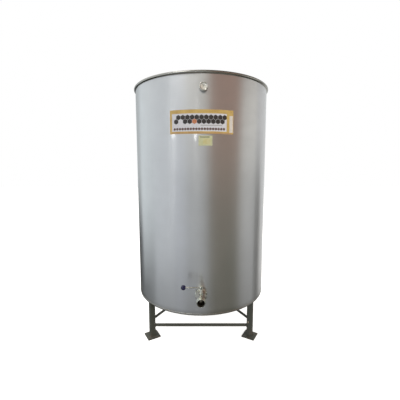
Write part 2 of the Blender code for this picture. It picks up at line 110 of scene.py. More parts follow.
def linear(colour: str) -> tuple[float, float, float, float]:
    """Turns an sRGB hex colour to linear light.

    Args:
        colour: The colour as "#rrggbb".

    Returns:
        Red, green and blue, and a full alpha.
    """
    parts = [int(colour[i : i + 2], 16) / 255 for i in (1, 3, 5)]
    return (*[c / 12.92 if c <= 0.04045 else ((c + 0.055) / 1.055) ** 2.4 for c in parts], 1.0)


def feed(tree: Tree, node: bpy.types.Node, inputs: dict[str | int, Value]) -> None:
    """Links or sets some inputs of a node.

    Args:
        tree: The tree that the node is in.
        node: The node.
        inputs: For each input, by name or number, its value, the socket that feeds it, or a formula: the
            name of a sum and its terms, which can be formulas too.
    """
    for name, value in inputs.items():
        if isinstance(value, tuple) and isinstance(value[0], str):
            value = add_node(tree, "ShaderNodeMath", dict(enumerate(value[1:])), operation=value[0])[0]
        if isinstance(value, Socket):
            tree.links.new(value, node.inputs[name])
        else:
            node.inputs[name].default_value = value


def add_node(
    tree: Tree,
    kind: str,
    inputs: dict[str | int, Value] | None = None,
    stops: Sequence[tuple[float, str | float]] = (),
    **settings: Value,
) -> Outputs:
    """Adds one node with its settings and links.

    Args:
        tree: The tree that gets the node.
        kind: Blender's name for this kind of node.
        inputs: What feeds its inputs, as in feed.
        stops: The places along the node's ramp, where it has one, each with an sRGB colour or a grey value.
        settings: The node's own settings.

    Returns:
        The new node's outputs.
    """
    node = tree.nodes.new(kind)
    for name, value in settings.items():
        setattr(node, name, value)
    feed(tree, node, inputs or {})
    for i, (place, colour) in enumerate(stops):
        elements = node.color_ramp.elements
        element = elements[i] if i < len(elements) else elements.new(place)
        element.position = place
        element.color = linear(colour) if isinstance(colour, str) else (colour, colour, colour, 1.0)
    return node.outputs


def eased(corners: Sequence[Corner], closed: bool = True) -> list[Point]:
    """Rounds an outline's corners.

    Args:
        corners: Each corner with the radius that rounds it, or 0 where it stays sharp.
        closed: Whether the last corner joins the first.

    Returns:
        The outline's points.
    """
    points: list[Point] = []
    count = len(corners)
    for i, (x, y, radius) in enumerate(corners):
        here = Vector((x, y))
        if radius == 0 or (not closed and i in (0, count - 1)):
            points.append((x, y))
            continue
        before = Vector(corners[i - 1][:2]) - here
        after = Vector(corners[(i + 1) % count][:2]) - here
        wanted = radius / math.tan(before.angle(after) / 2)
        cut = min(wanted, before.length * EASE_SHARE, after.length * EASE_SHARE)
        first, last = here + before.normalized() * cut, here + after.normalized() * cut
        for step in range(EASE_STEPS + 1):
            t = step / EASE_STEPS
            points.append(tuple(first * (1 - t) ** 2 + here * 2 * t * (1 - t) + last * t**2))
    return points


def circle(radius: float, steps: int) -> list[Point]:
    """Points round a circle about the origin."""
    turns = [math.tau * i / steps for i in range(steps)]
    return [(radius * math.cos(turn), radius * math.sin(turn)) for turn in turns]


def arc(centre: Point, radius: float, start: float, end: float, steps: int) -> list[Point]:
    """Points on an arc, from one angle in degrees to another."""
    angles = [math.radians(start + (end - start) * i / steps) for i in range(steps + 1)]
    return [(centre[0] + radius * math.cos(a), centre[1] + radius * math.sin(a)) for a in angles]


def around_axis(radius: float, turn: float, height: float) -> Vector:
    """The point at this radius and height, turned this far round from the tank's foremost line."""
    return AXIS + Vector((radius * math.sin(turn), -radius * math.cos(turn), height))


def on_wall(aside: float, height: float, out: float = 0.0) -> Vector:
    """The point this far round the wall from its foremost line, at this height, and this far out from it."""
    return around_axis(WALL_RADIUS + out, aside / WALL_RADIUS, height)


def new_shape() -> Shape:
    """Makes an empty shape with a map.

    Returns:
        The shape.
    """
    bm = bmesh.new()
    bm.loops.layers.uv.new(UV_MAP)
    return bm


def add_face(bm: Shape, corners: Sequence[bmesh.types.BMVert], spots: Sequence[Point]) -> None:
    """Adds a face to a shape.

    Args:
        bm: The shape.
        corners: The face's corners.
        spots: Where each corner lies on the map.
    """
    face = bm.faces.new(corners)
    layer = bm.loops.layers.uv[UV_MAP]
    for loop, spot in zip(face.loops, spots):
        loop[layer].uv = spot


def meshed(bm: Shape) -> Mesh:
    """Turns a shape to a mesh whose faces point out, shaded smooth apart from its creases.

    Args:
        bm: The shape, which is freed.

    Returns:
        The mesh.
    """
    bmesh.ops.remove_doubles(bm, verts=bm.verts, dist=WELD_DISTANCE)
    bmesh.ops.recalc_face_normals(bm, faces=bm.faces)
    mesh = bpy.data.meshes.new("shape")
    bm.to_mesh(mesh)
    bm.free()
    mesh.shade_smooth()
    mesh.set_sharp_from_angle(angle=CREASE)
    return mesh


def turned(profile: Sequence[Point], steps: int, place: Matrix) -> Mesh:
    """Turns a closed profile round its axis. Its map runs round in U and along the profile in V.

    Args:
        profile: Points (radius, height). It closes on itself, or along the axis if both its ends are there.
        steps: Facets round the axis.
        place: Where the axis and its zero height are.

    Returns:
        The turned solid.
    """
    bm = new_shape()
    rings, along, distance = [], [], 0.0
    for i, (radius, height) in enumerate(profile):
        if i:
            distance += math.dist(profile[i - 1], (radius, height))
        along.append(distance)
        spots = circle(radius, steps)[: steps if radius > WELD_DISTANCE else 1]
        rings.append([bm.verts.new(place @ Vector((x, y, height))) for x, y in spots])
    girth = math.tau * max(radius for radius, _ in profile)
    pairs = [(i, i + 1) for i in range(len(rings) - 1)]
    if len(rings[0]) > 1:
        pairs.append((len(rings) - 1, 0))
    for low, high in pairs:
        ends = {low: along[low], high: along[high] if high else distance + math.dist(profile[-1], profile[0])}
        for k in range(steps):
            corners = [(low, k), (low, k + 1), (high, k + 1), (high, k)]
            kept = [c for n, c in enumerate(corners) if len(rings[c[0]]) > 1 or n in (0, 2)]
            if len(kept) > 2:
                vertices = [rings[ring][turn % len(rings[ring])] for ring, turn in kept]
                add_face(bm, vertices, [(girth * turn / steps, ends[ring]) for ring, turn in kept])
    return meshed(bm)


def lathed(corners: Sequence[Corner], steps: int, place: Matrix, closed: bool = True) -> Mesh:
    """Turns a profile whose corners are rounded."""
    return turned(eased(corners, closed), steps, place)


def swept(outline: Sequence[Point], low: float, high: float, place: Matrix) -> Mesh:
    """Pulls a closed outline along +Z. Its map runs round in U and along in V.

    Args:
        outline: The outline's points.
        low: Where it starts.
        high: Where it ends.
        place: What both heights and the outline are measured in.

    Returns:
        The closed prism.
    """
    bm = new_shape()
    start, end = ([bm.verts.new(place @ Vector((x, y, z))) for x, y in outline] for z in (low, high))
    bm.faces.new(start[::-1])
    bm.faces.new(end)
    distance = 0.0
    for i, point in enumerate(outline):
        after = (i + 1) % len(outline)
        far = distance + math.dist(point, outline[after])
        spots = ((distance, low), (far, low), (far, high), (distance, high))
        add_face(bm, (start[i], start[after], end[after], end[i]), spots)
        distance = far
    return meshed(bm)


def rounded_square(half: float, ease: float, other: float | None = None) -> list[Point]:
    """The outline of a square, or of a rectangle with another half width, with rounded corners."""
    return eased([(x * half, y * (other or half), ease) for x, y in SQUARE])


def loose(mesh: Mesh, name: str = "helper") -> bpy.types.Object:
    """An object for this mesh, not yet a piece of the tank.

    Args:
        mesh: The mesh.
        name: The object's name.

    Returns:
        The object, in the scene.
    """
    obj = bpy.data.objects.new(name, mesh)
    bpy.context.scene.collection.objects.link(obj)
    return obj


def settled(obj: bpy.types.Object) -> Mesh:
    """Does an object's modifiers and removes it.

    Args:
        obj: The object.

    Returns:
        The plain mesh that it had with its modifiers done.
    """
    bpy.context.view_layer.update()
    graph = bpy.context.evaluated_depsgraph_get()
    mesh = bpy.data.meshes.new_from_object(obj.evaluated_get(graph))
    bpy.data.objects.remove(obj, do_unlink=True)
    return mesh


def modified(obj: bpy.types.Object, kind: str, **settings: Value) -> None:
    """Adds a modifier to an object.

    Args:
        obj: The object.
        kind: Blender's name for this kind of modifier.
        settings: The modifier's own settings.
    """
    modifier = obj.modifiers.new(kind.lower(), kind)
    for name, value in settings.items():
        setattr(modifier, name, value)


def combined(mesh: Mesh, how: Meet, *others: Mesh) -> Mesh:
    """Cuts, joins or crosses a mesh with others.

    Args:
        mesh: The mesh to start from.
        how: How it meets the others.
        others: The other meshes, in turn.

    Returns:
        The combined mesh.
    """
    obj = loose(mesh)
    helpers = [loose(other) for other in others]
    for helper in helpers:
        modified(obj, "BOOLEAN", operation=how.value, solver="EXACT", object=helper)
    made = settled(obj)
    for helper in helpers:
        bpy.data.objects.remove(helper, do_unlink=True)
    made.shade_smooth()
    made.set_sharp_from_angle(angle=CREASE)
    return made


def eased_edges(mesh: Mesh, width: float) -> Mesh:
    """Rounds the sharp edges of a mesh with a narrow bevel.

    Args:
        mesh: The mesh.
        width: The bevel's width.

    Returns:
        The mesh with its edges rounded.
    """
    obj = loose(mesh)
    limits = {"limit_method": "ANGLE", "angle_limit": CREASE}
    modified(obj, "BEVEL", width=width, segments=2, harden_normals=True, **limits)
    return settled(obj)


@dataclass
class Coat:
    """Patterns and colours laid over one another in a tree of shader nodes."""

    tree: Tree
    colour: Value  # the colour so far, or its socket
    roughness: float = 0.0
    inputs: dict[str, Value] = field(default_factory=dict)  # what the shader is fed with
    # Layers of bumps, each over the last: their pattern, how much they tilt the surface, and their depth.
    relief: list[tuple[Socket, float, float]] = field(default_factory=list)

    def where(self, mapped: bool = False) -> Socket:
        """The coordinates on the piece's own map, or in its solid."""
        kind, output = ("ShaderNodeUVMap", "UV") if mapped else ("ShaderNodeTexCoord", "Object")
        return add_node(self.tree, kind, **({"uv_map": UV_MAP} if mapped else {}))[output]

    def marks(
        self, size: float, stretch: Corner = (1, 1, 1), detail: float = 2.0, mapped: bool = False
    ) -> Socket:
        """Uneven marks of a real size, drawn out along some axes.

        Args:
            size: How far apart the marks are, in metres.
            stretch: How often they change along each axis, as a share of that.
            detail: How many finer layers they have.
            mapped: Whether they follow the piece's own map.

        Returns:
            A socket with values round 0.5.
        """
        inputs = {"Vector": self.where(mapped), "Scale": tuple(share / size for share in stretch)}
        moved = add_node(self.tree, "ShaderNodeMapping", inputs)[0]
        return add_node(self.tree, "ShaderNodeTexNoise", {"Vector": moved, "Scale": 1.0, "Detail": detail})[0]

    def tint(self, over: Value, *shares: tuple[Value, Point, Point]) -> None:
        """Lays a colour over the colour so far.

        Args:
            over: The colour, as sRGB hex, in linear light, or its socket.
            shares: One or two values, each with the span of it that counts and how much of the colour there
                is at the span's two ends. Two are multiplied.
        """
        inputs = [dict(enumerate((value, *span, *ends))) for value, span, ends in shares]
        amounts = [add_node(self.tree, "ShaderNodeMapRange", each)[0] for each in inputs]
        amount = ("MULTIPLY", *amounts) if len(amounts) > 1 else amounts[0]
        over = linear(over) if isinstance(over, str) else over
        inputs = {0: amount, 6: self.colour, 7: over}
        self.colour = add_node(self.tree, "ShaderNodeMix", inputs, data_type="RGBA")[2]

    def roughen(self, pattern: Socket, span: Point, factors: Point) -> None:
        """Varies the roughness along a pattern.

        Args:
            pattern: The pattern.
            span: The span of it that counts.
            factors: What the plain roughness is multiplied by at the span's two ends.
        """
        ends = [self.roughness * factor for factor in factors]
        inputs = dict(enumerate((pattern, *span, *ends)))
        self.inputs["Roughness"] = add_node(self.tree, "ShaderNodeMapRange", inputs)[0]

    def height(self) -> Socket:
        """The height above the ground."""
        return add_node(self.tree, "ShaderNodeSeparateXYZ", {0: self.where()})[2]


def shaded(colour: str, factor: float) -> tuple[float, ...]:
    """An sRGB hex colour in linear light, made darker or lighter by a factor."""
    return (*[min(part * factor, 1.0) for part in linear(colour)[:3]], 1.0)


@dataclass(frozen=True)
class Finish:
    """What each finish has: its name, its record's slot and the plain values it starts from."""

    name: str
    slot: str
    colour: str
    roughness: float
    metallic: float = 0.0

    def material(self) -> bpy.types.Material:
        """Makes the finish's material when it is first asked for.

        Returns:
            The material.
        """
        found = bpy.data.materials.get(self.name)
        if found:
            return found
        made = bpy.data.materials.new(self.name)
        made.use_nodes = True
        shader = made.node_tree.nodes["Principled BSDF"]
        plain = {"Base Color": linear(self.colour), "Roughness": self.roughness, "Metallic": self.metallic}
        feed(made.node_tree, shader, plain)
        coat = Coat(made.node_tree, plain["Base Color"], self.roughness)
        self.dress(coat)
        normal: dict[str, Value] = {}
        for pattern, tilt, depth in coat.relief:
            inputs = {"Height": pattern, "Strength": tilt, "Distance": depth, **normal}
            normal = {"Normal": add_node(made.node_tree, "ShaderNodeBump", inputs)[0]}
        feed(made.node_tree, shader, {**coat.inputs, **normal, "Base Color": coat.colour})
        return made

    def dress(self, coat: Coat) -> None:
        """Adds the finish's own patterns to the coat."""
        raise NotImplementedError


@dataclass(frozen=True)
class RolledStainless(Finish):
    """Cold-rolled stainless sheet, dull bright, as it comes from the mill.

    To the eye it is a soft grey mirror: reflections are blurred, more so across the rolling grain, and it
    carries faint wiping marks, cloudy patches and thin runs below its welds.
    """

    grain_gap: float = 2.5 * MM  # real rolling lines are ten times finer, too fine to show here
    spread: float = 0.55  # how much more the grain blurs up and down than round
    oil: float = 0.0  # a thin film from wiping, which mirrors small lamps crisply
    low_tint_top: float = -1.0  # the height below which the sheet turns darker and duller towards the bottom
    low_tint_depth: float = 42 * MM
    dirt: str = "#3f3d39"
    # the colour that the sheet turns towards at the bottom
    dust: str = "#87857a"

    def dress(self, coat: Coat) -> None:
        """Adds grain, wiping marks and runs on the sheet's map, and clouds, a darker tint towards the bottom
        and soft buckles.

        Args:
            coat: The material's coat.
        """
        grain = coat.marks(self.grain_gap, (0.04, 1.0, 1), 3.0, mapped=True)
        clouds = coat.marks(280 * MM, (1, 1, 0.7), 4.0)
        wipes = coat.marks(45 * MM, (0.35, 1.0, 1), 5.0, mapped=True)
        runs = coat.marks(18 * MM, (1.0, 0.02, 1), 2.0, mapped=True)
        buckles = coat.marks(340 * MM, (1, 1, 0.55), 1.0)
        coat.colour = dark = shaded(self.colour, 0.94)
        coat.tint(shaded(self.colour, 1.04), (clouds, (0.35, 0.65), (0.0, 1.0)))
        coat.tint(dark, (runs, (0.56, 0.72), (0.0, 0.22)))
        coat.tint(self.dirt, (grain, (0.40, 0.62), (0.015, 0.0)))
        coat.tint(self.dust, (coat.height(), (self.low_tint_top - self.low_tint_depth, self.low_tint_top), (0.6, 0.0)))
        coat.roughen(wipes, (0.36, 0.66), (0.95, 1.1))
        coat.relief += [(buckles, 0.5, 2.2 * MM), (grain, 0.03, 0.05 * MM)]
        coat.inputs |= {"Anisotropic": self.spread, "Anisotropic Rotation": 0.25}
        coat.inputs |= {"Coat Weight": self.oil, "Coat Roughness": 0.07}


@dataclass(frozen=True)
class TurnedStainless(Finish):
    """Stainless fittings turned on a lathe and polished.

    To the eye they are bright, with narrow highlights broken into fine rings, and dirt in their corners.
    """

    ring_gap: float = 0.7 * MM  # real turning marks are about five times finer
    dirt: float = 0.5  # how dark its stains are
    stain: str = "#565648"

    def dress(self, coat: Coat) -> None:
        """Adds turning rings along the piece's own map and small stains.

        Args:
            coat: The material's coat.
        """
        stains = coat.marks(9 * MM, detail=4.0)
        coat.tint(self.stain, (stains, (0.54, 0.70), (0.0, self.dirt)))
        coat.roughen(stains, (0.35, 0.70), (0.8, 1.6))
        rings = coat.marks(self.ring_gap, (0.01, 1.0, 1), mapped=True)
        coat.relief.append((rings, 0.10, 0.05 * MM))


@dataclass(frozen=True)
class CastStainless(Finish):
    """Investment-cast stainless, blasted and then buffed on its high places.

    To the eye it is a little grainy; its buffed corners are brighter, and painted shade darkens its hollows.
    """

    pit: float = 1.1 * MM
    # painted shade laid in the hollows, over the duller blasted surface there
    hollow: str = "#6d6a62"
    patch: str = "#8b857a"

    def dress(self, coat: Coat) -> None:
        """Adds the cast grain, dull patches and painted shade in the hollows.

        Args:
            coat: The material's coat.
        """
        patches = coat.marks(14 * MM, detail=3.0)
        bulge = add_node(coat.tree, "ShaderNodeNewGeometry")["Pointiness"]
        # darkens the hollows of the surface: painted shade
        coat.tint(self.hollow, (bulge, (0.47, 0.53), (0.45, 0.0)))
        coat.tint(self.patch, (patches, (0.5, 0.7), (0.0, 0.3)))
        coat.roughen(patches, (0.35, 0.7), (0.8, 1.4))
        coat.relief.append((coat.marks(self.pit, detail=3.0), 0.18, 0.12 * MM))


@dataclass(frozen=True)
class PaintedSpoutShade(Finish):
    """A thin dark sheet inside the spout: painted shade for the dark bore.

    To the eye it is almost black, with lighter brown streaks and a dull gloss.
    """

    # the lighter brown of the streaks in the painted shade
    thin: str = "#3a2a14"

    def dress(self, coat: Coat) -> None:
        """Adds lighter streaks along the spout to the painted shade.

        Args:
            coat: The material's coat.
        """
        streaks = coat.marks(4 * MM, (1, 0.15, 1), 3.0)
        coat.tint(self.thin, (streaks, (0.5, 0.7), (0.0, 0.7)))
        coat.roughen(streaks, (0.35, 0.7), (0.7, 1.4))


@dataclass(frozen=True)
class WeldMetal(Finish):
    """A TIG weld bead, left as welded.

    To the eye it is a row of small bright ripples that runs from silver to straw and blue.
    """

    warm: str = "#b79a68"
    cool: str = "#7d86a0"

    def dress(self, coat: Coat) -> None:
        """Adds patches of heat tint.

        Args:
            coat: The material's coat.
        """
        heat = coat.marks(24 * MM)
        coat.tint(self.warm, (heat, (0.50, 0.62), (0.0, 0.6)))
        coat.tint(self.cool, (heat, (0.60, 0.72), (0.0, 0.6)))
        coat.roughen(coat.marks(2 * MM), (0.35, 0.65), (0.8, 1.4))


@dataclass(frozen=True)
class PaintedStand(Finish):
    """Mild steel under a thin dark paint, brushed on long ago.

    To the eye it is a dull dark grey, paler with dust on what faces up, worn along its edges, and rusty
    low down and near its welds.
    """

    dust: str = "#8d8d82"
    rust: str = "#5a3a2a"
    worn: str = "#74756b"
    rust_top: float = 0.12  # height below which rust shows

    def dress(self, coat: Coat) -> None:
        """Adds brush marks, rust, dust and worn edges.

        Args:
            coat: The material's coat.
        """
        shape = add_node(coat.tree, "ShaderNodeNewGeometry")
        up = add_node(coat.tree, "ShaderNodeSeparateXYZ", {0: shape["Normal"]})[2]
        patches = coat.marks(26 * MM, (1, 1, 0.6), 5.0)
        specks = coat.marks(5 * MM, detail=3.0)
        coat.colour = shaded(self.colour, 0.6)
        coat.tint(self.colour, (patches, (0.35, 0.65), (0.0, 1.0)))
        low = (coat.height(), (0.0, self.rust_top), (0.75, 0.0))
        coat.tint(self.rust, low, (patches, (0.48, 0.62), (0.0, 1.0)))
        coat.tint(self.dust, (up, (0.55, 0.95), (0.0, 0.5)), (specks, (0.30, 0.62), (0.35, 1.0)))
        coat.tint(self.worn, (shape["Pointiness"], (0.52, 0.58), (0.0, 0.4)))
        coat.roughen(specks, (0.35, 0.65), (0.85, 1.2))
        coat.relief.append((specks, 0.35, 0.25 * MM))


@dataclass(frozen=True)
class MouldedKnob(Finish):
    """A ball knob moulded in phenolic plastic.

    To the eye it is a deep glossy blue with a soft highlight and a few hairline scratches.
    """

    scratch: float = 1.6 * MM
    dulled: str = "#34345c"

    def dress(self, coat: Coat) -> None:
        """Adds scratches and dull, handled patches.

        Args:
            coat: The material's coat.
        """
        handled = coat.marks(12 * MM)
        coat.tint(self.dulled, (handled, (0.4, 0.65), (0.0, 0.5)))
        coat.roughen(handled, (0.35, 0.65), (1.0, 2.0))
        scratches = coat.marks(self.scratch, (0.15, 1, 1), 4.0)
        coat.relief.append((scratches, 0.15, 0.04 * MM))


@dataclass(frozen=True)
class PrintedFilm(Finish):
    """Self-adhesive film printed in amber under a gloss laminate.

    To the eye it is a warm yellow with a faint comb of lighter cells, a little faded and scuffed.
    """

    shade: str = "#b58c40"
    fade: str = "#e4cf96"
    scuff: str = "#d8d2c4"
    cell: float = 9 * MM

    def dress(self, coat: Coat) -> None:
        """Adds the printed comb, its shading and scuffs, on the film's own map.

        Args:
            coat: The material's coat.
        """
        grid = {"Vector": coat.where(mapped=True), "Scale": 1 / self.cell, "Randomness": 0.25}
        cells = add_node(coat.tree, "ShaderNodeTexVoronoi", grid, feature="DISTANCE_TO_EDGE")[0]
        scuffs = coat.marks(6 * MM, (0.3, 1, 1), 5.0, mapped=True)
        coat.tint(self.shade, (coat.marks(60 * MM, mapped=True), (0.35, 0.65), (0.0, 0.8)))
        coat.tint(self.fade, (cells, (0.02, 0.10), (0.45, 0.0)))
        coat.tint(self.scuff, (scuffs, (0.62, 0.75), (0.0, 0.35)))
        coat.roughen(scuffs, (0.4, 0.7), (1.0, 1.8))
        coat.inputs |= {"Coat Weight": 0.5, "Coat Roughness": 0.12}


@dataclass(frozen=True)
class PrintedInk(Finish):
    """One flat ink of a label's print.

    To the eye it is an even colour that is a little mottled where the ink is thin.
    """

    thin: str = "#ffffff"

    def dress(self, coat: Coat) -> None:
        """Adds the ink's mottling.

        Args:
            coat: The material's coat.
        """
        mottle = coat.marks(16 * MM, detail=4.0)
        coat.tint(self.thin, (mottle, (0.40, 0.72), (0.0, 0.45)))
        coat.roughen(mottle, (0.4, 0.7), (1.0, 1.5))


@dataclass(frozen=True)
class BackdropPaper(Finish):
    """White backdrop paper on the floor.

    To the eye it is almost as white as the background, with only a faint shadow.
    """

    glow: float = 0.80  # how bright it stays in the deepest shadow

    def dress(self, coat: Coat) -> None:
        """Takes the paper's gloss away and lets it glow.

        Args:
            coat: The material's coat.
        """
        coat.inputs |= {"Specular IOR Level": 0.0, "Emission Strength": self.glow}
        coat.inputs |= {"Emission Color": linear("#fffefc")}


# the top of the darker strip at the bottom of the sheet
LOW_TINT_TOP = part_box("jacket_floor")[0].z + 42 * MM
SHEET = RolledStainless(
    "rolled stainless sheet", "stainless_sheet", "#d2d2d2", 0.35, 1.0, oil=1.0, low_tint_top=LOW_TINT_TOP
)
VESSEL_SHEET = RolledStainless("vessel sheet", "stainless_sheet", "#c6c5c0", 0.34, 1.0)
# painted shade: the rim is the same steel as the wall, given a darker colour to stand for the dark room it
# mirrors
RIM_SHEET = RolledStainless(
    "rolled rim sheet", "stainless_sheet", "#aeaca5", 0.24, 1.0, grain_gap=1.2 * MM, spread=0.3
)
FITTING = TurnedStainless("turned stainless", "stainless_fitting", "#d8d6d0", 0.13, 1.0)
VALVE_METAL = TurnedStainless(
    "turned stainless, dulled by hands", "stainless_fitting", "#e2e3d8", 0.12, 1.0, dirt=1.0
)
STEM_METAL = TurnedStainless("satin stem steel", "stainless_fitting", "#dcdcd2", 0.34, 0.6, dirt=0.2)
ROD = TurnedStainless("drawn stainless rod", "stainless_fitting", "#c6c3ba", 0.18, 1.0)
# painted shade: the ball's colour is darkened to stand for the shade inside the closed valve
BALL = TurnedStainless("turned ball, clouded with honey", "stainless_fitting", "#6e6a5e", 0.34, 1.0)
CASTING = CastStainless("cast stainless", "stainless_fitting", "#c2bfb4", 0.20, 1.0)
# painted shade: a dark sheet lines the spout's bore, which is only in shadow
SPOUT_SHADE = PaintedSpoutShade("dried honey", "stainless_fitting", "#26221a", 0.42)
WELD = WeldMetal("stainless weld", "stainless_sheet", "#cfcdc6", 0.28, 1.0)
STAND = PaintedStand("painted mild steel", "stand_steel", "#33372f", 0.55, 0.10)
BARE_WELD = WeldMetal("bare weld metal", "stand_steel", "#a6a69c", 0.5, 0.1)
STAND_WELD = PaintedStand("painted weld", "stand_steel", "#474940", 0.45, 0.4, rust_top=0.2)
KNOB = MouldedKnob("moulded phenolic", "knob_plastic", "#15143a", 0.20)
FILM = PrintedFilm("amber printed film", "label_film", "#d2b05c", 0.38)
WHITE_INK = PrintedInk("white ink", "label_film", "#dcdadc", 0.36, thin="#c9c7cc")
CREAM_INK = PrintedInk("cream ink", "label_film", "#e2d9cc", 0.36, thin="#d4cbbd")
DARK_INK = PrintedInk("dark ink", "label_film", "#2f2b29", 0.36, thin="#4a4440")
ORANGE_INK = PrintedInk("orange ink", "label_film", "#c47a52", 0.36, thin="#cf9a70")
BAND_INK = PrintedInk("red-brown band ink", "label_film", "#bb8f6c", 0.36, thin="#b9a77e")
BROWN_INK = PrintedInk("brown ink", "label_film", "#5c443d", 0.36, thin="#7a645c")
GREY_INK = PrintedInk("grey ink", "label_film", "#9a9794", 0.36, thin="#b5b2af")
STICKER_PATCH = PrintedInk("sticker ink", "small_label_film", "#cdc48c", 0.42, thin="#dcd8b4")
STICKER = PrintedInk("yellow sticker film", "small_label_film", "#c6c698", 0.42, thin="#dedec4")
PAPER = BackdropPaper("white floor", "", "#f4f3f1", 0.9)


def add_piece(
    name: str, mesh: Mesh, finish: Finish, nodes: Sequence[str] = (), body: Body = Body.TANK
) -> None:
    """Makes a finished piece of the tank.

    Args:
        name: The piece's name.
        mesh: Its mesh, already in place.
        finish: The finish that dresses it.
        nodes: The CAD nodes it stands for.
        body: The body it rides on.
    """
    mesh.name = name
    mesh.materials.clear()
    mesh.materials.append(finish.material())
    obj = loose(mesh, name)
    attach(obj, body.value)
    if nodes:
        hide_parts(*nodes)
    LOG.info("%s: %d faces, %s", name, len(mesh.polygons), finish.name)


@dataclass
class NodeRecipe:
    """A Geometry Nodes tree with named inputs, built once and used by several pieces."""

    name: str
    sizes: dict[str, Sequence[str]]  # for each kind of socket, the names of the inputs
    fill: Callable[[Tree, Outputs], Socket]  # adds the nodes from the inputs up to the geometry
    tree: Tree | None = field(default=None, init=False)

    def built(self) -> Tree:
        """Builds the tree when it is first asked for.

        Returns:
            The tree.
        """
        if self.tree is None:
            self.tree = bpy.data.node_groups.new(self.name, "GeometryNodeTree")
            sizes = {"Geometry": ["Geometry"], "Material": ["Material"], **self.sizes}
            for kind, names in sizes.items():
                for name in names:
                    self.tree.interface.new_socket(name, in_out="INPUT", socket_type=f"NodeSocket{kind}")
            self.tree.interface.new_socket("Geometry", in_out="OUTPUT", socket_type="NodeSocketGeometry")
            given = add_node(self.tree, "NodeGroupInput")
            whole = add_node(self.tree, "GeometryNodeRealizeInstances", {0: self.fill(self.tree, given)})[0]
            inputs = {"Geometry": whole, "Material": given["Material"]}
            dressed = add_node(self.tree, "GeometryNodeSetMaterial", inputs)[0]
            add_node(self.tree, "NodeGroupOutput", {0: dressed})
        return self.tree

    def mesh(self, finish: Finish, values: dict[str, Value], start: Mesh | None = None) -> Mesh:
        """Makes the plain mesh that the tree gives.

        Args:
            finish: The finish that dresses it.
            values: The value of each named input.
            start: The mesh that goes into the tree, if any.

        Returns:
            The mesh, with nothing live left on it.
        """
        obj = loose(start or bpy.data.meshes.new("start"))
        modifier = obj.modifiers.new(self.name, "NODES")
        modifier.node_group = self.built()
        given = {**values, "Material": finish.material()}
        for item in self.tree.interface.items_tree:
            if item.in_out == "INPUT" and item.name in given:
                modifier[item.identifier] = given[item.name]
        return settled(obj)


def fill_weld(tree: Tree, given: Outputs) -> Socket:
    """Adds the nodes of a rippled bead along the path that comes in.

    Args:
        tree: The tree.
        given: Its inputs.

    Returns:
        The bead.
    """
    path = add_node(tree, "GeometryNodeMeshToCurve", {"Mesh": given["Geometry"]})[0]
    spacing = ("DIVIDE", given["Ripple spacing"], 4.0)
    path = add_node(tree, "GeometryNodeResampleCurve", {"Curve": path, "Length": spacing}, mode="LENGTH")[0]
    number = add_node(tree, "GeometryNodeInputIndex")[0]
    ripple = ("COSINE", ("MULTIPLY", number, math.pi / 2))
    rise = ("MULTIPLY_ADD", ripple, given["Ripple height"], 1.0)
    limits = {2: 0.88, 3: 1.12, "Seed": given["Seed"]}
    uneven = add_node(tree, "FunctionNodeRandomValue", limits, data_type="FLOAT")[1]
    size = ("MULTIPLY", ("MULTIPLY", rise, given["Bead radius"]), uneven)
    section = add_node(tree, "GeometryNodeCurvePrimitiveCircle", {"Resolution": 8, "Radius": 1.0})[0]
    inputs = {"Curve": path, "Profile Curve": section, "Scale": size, "Fill Caps": True}
    return add_node(tree, "GeometryNodeCurveToMesh", inputs)[0]


def fill_rim(tree: Tree, given: Outputs) -> Socket:
    """Adds the nodes of a round bead swept along a level circle, with a map in metres.

    Args:
        tree: The tree.
        given: Its inputs.

    Returns:
        The bead.
    """
    curves = []
    for steps, radius in (("Steps round", "Ring radius"), ("Steps across", "Bead radius")):
        inputs = {"Resolution": given[steps], "Radius": given[radius]}
        curve = add_node(tree, "GeometryNodeCurvePrimitiveCircle", inputs)[0]
        kept = tree.nodes.new("GeometryNodeCaptureAttribute")
        kept.capture_items.new("FLOAT", "length")
        feed(tree, kept, {0: curve, 1: add_node(tree, "GeometryNodeSplineParameter")["Length"]})
        curves.append(kept.outputs)
    (line, far_round), (section, far_across) = ((kept[0], kept[1]) for kept in curves)
    bead = add_node(tree, "GeometryNodeCurveToMesh", {"Curve": line, "Profile Curve": section})[0]
    spot = add_node(tree, "ShaderNodeCombineXYZ", {0: far_round, 1: far_across})[0]
    inputs = {"Geometry": bead, "Name": UV_MAP, "Value": spot}
    kind = "GeometryNodeStoreNamedAttribute"
    mapped = add_node(tree, kind, inputs, data_type="FLOAT2", domain="CORNER")[0]
    return add_node(tree, "GeometryNodeTransform", {"Geometry": mapped, "Translation": given["Centre"]})[0]


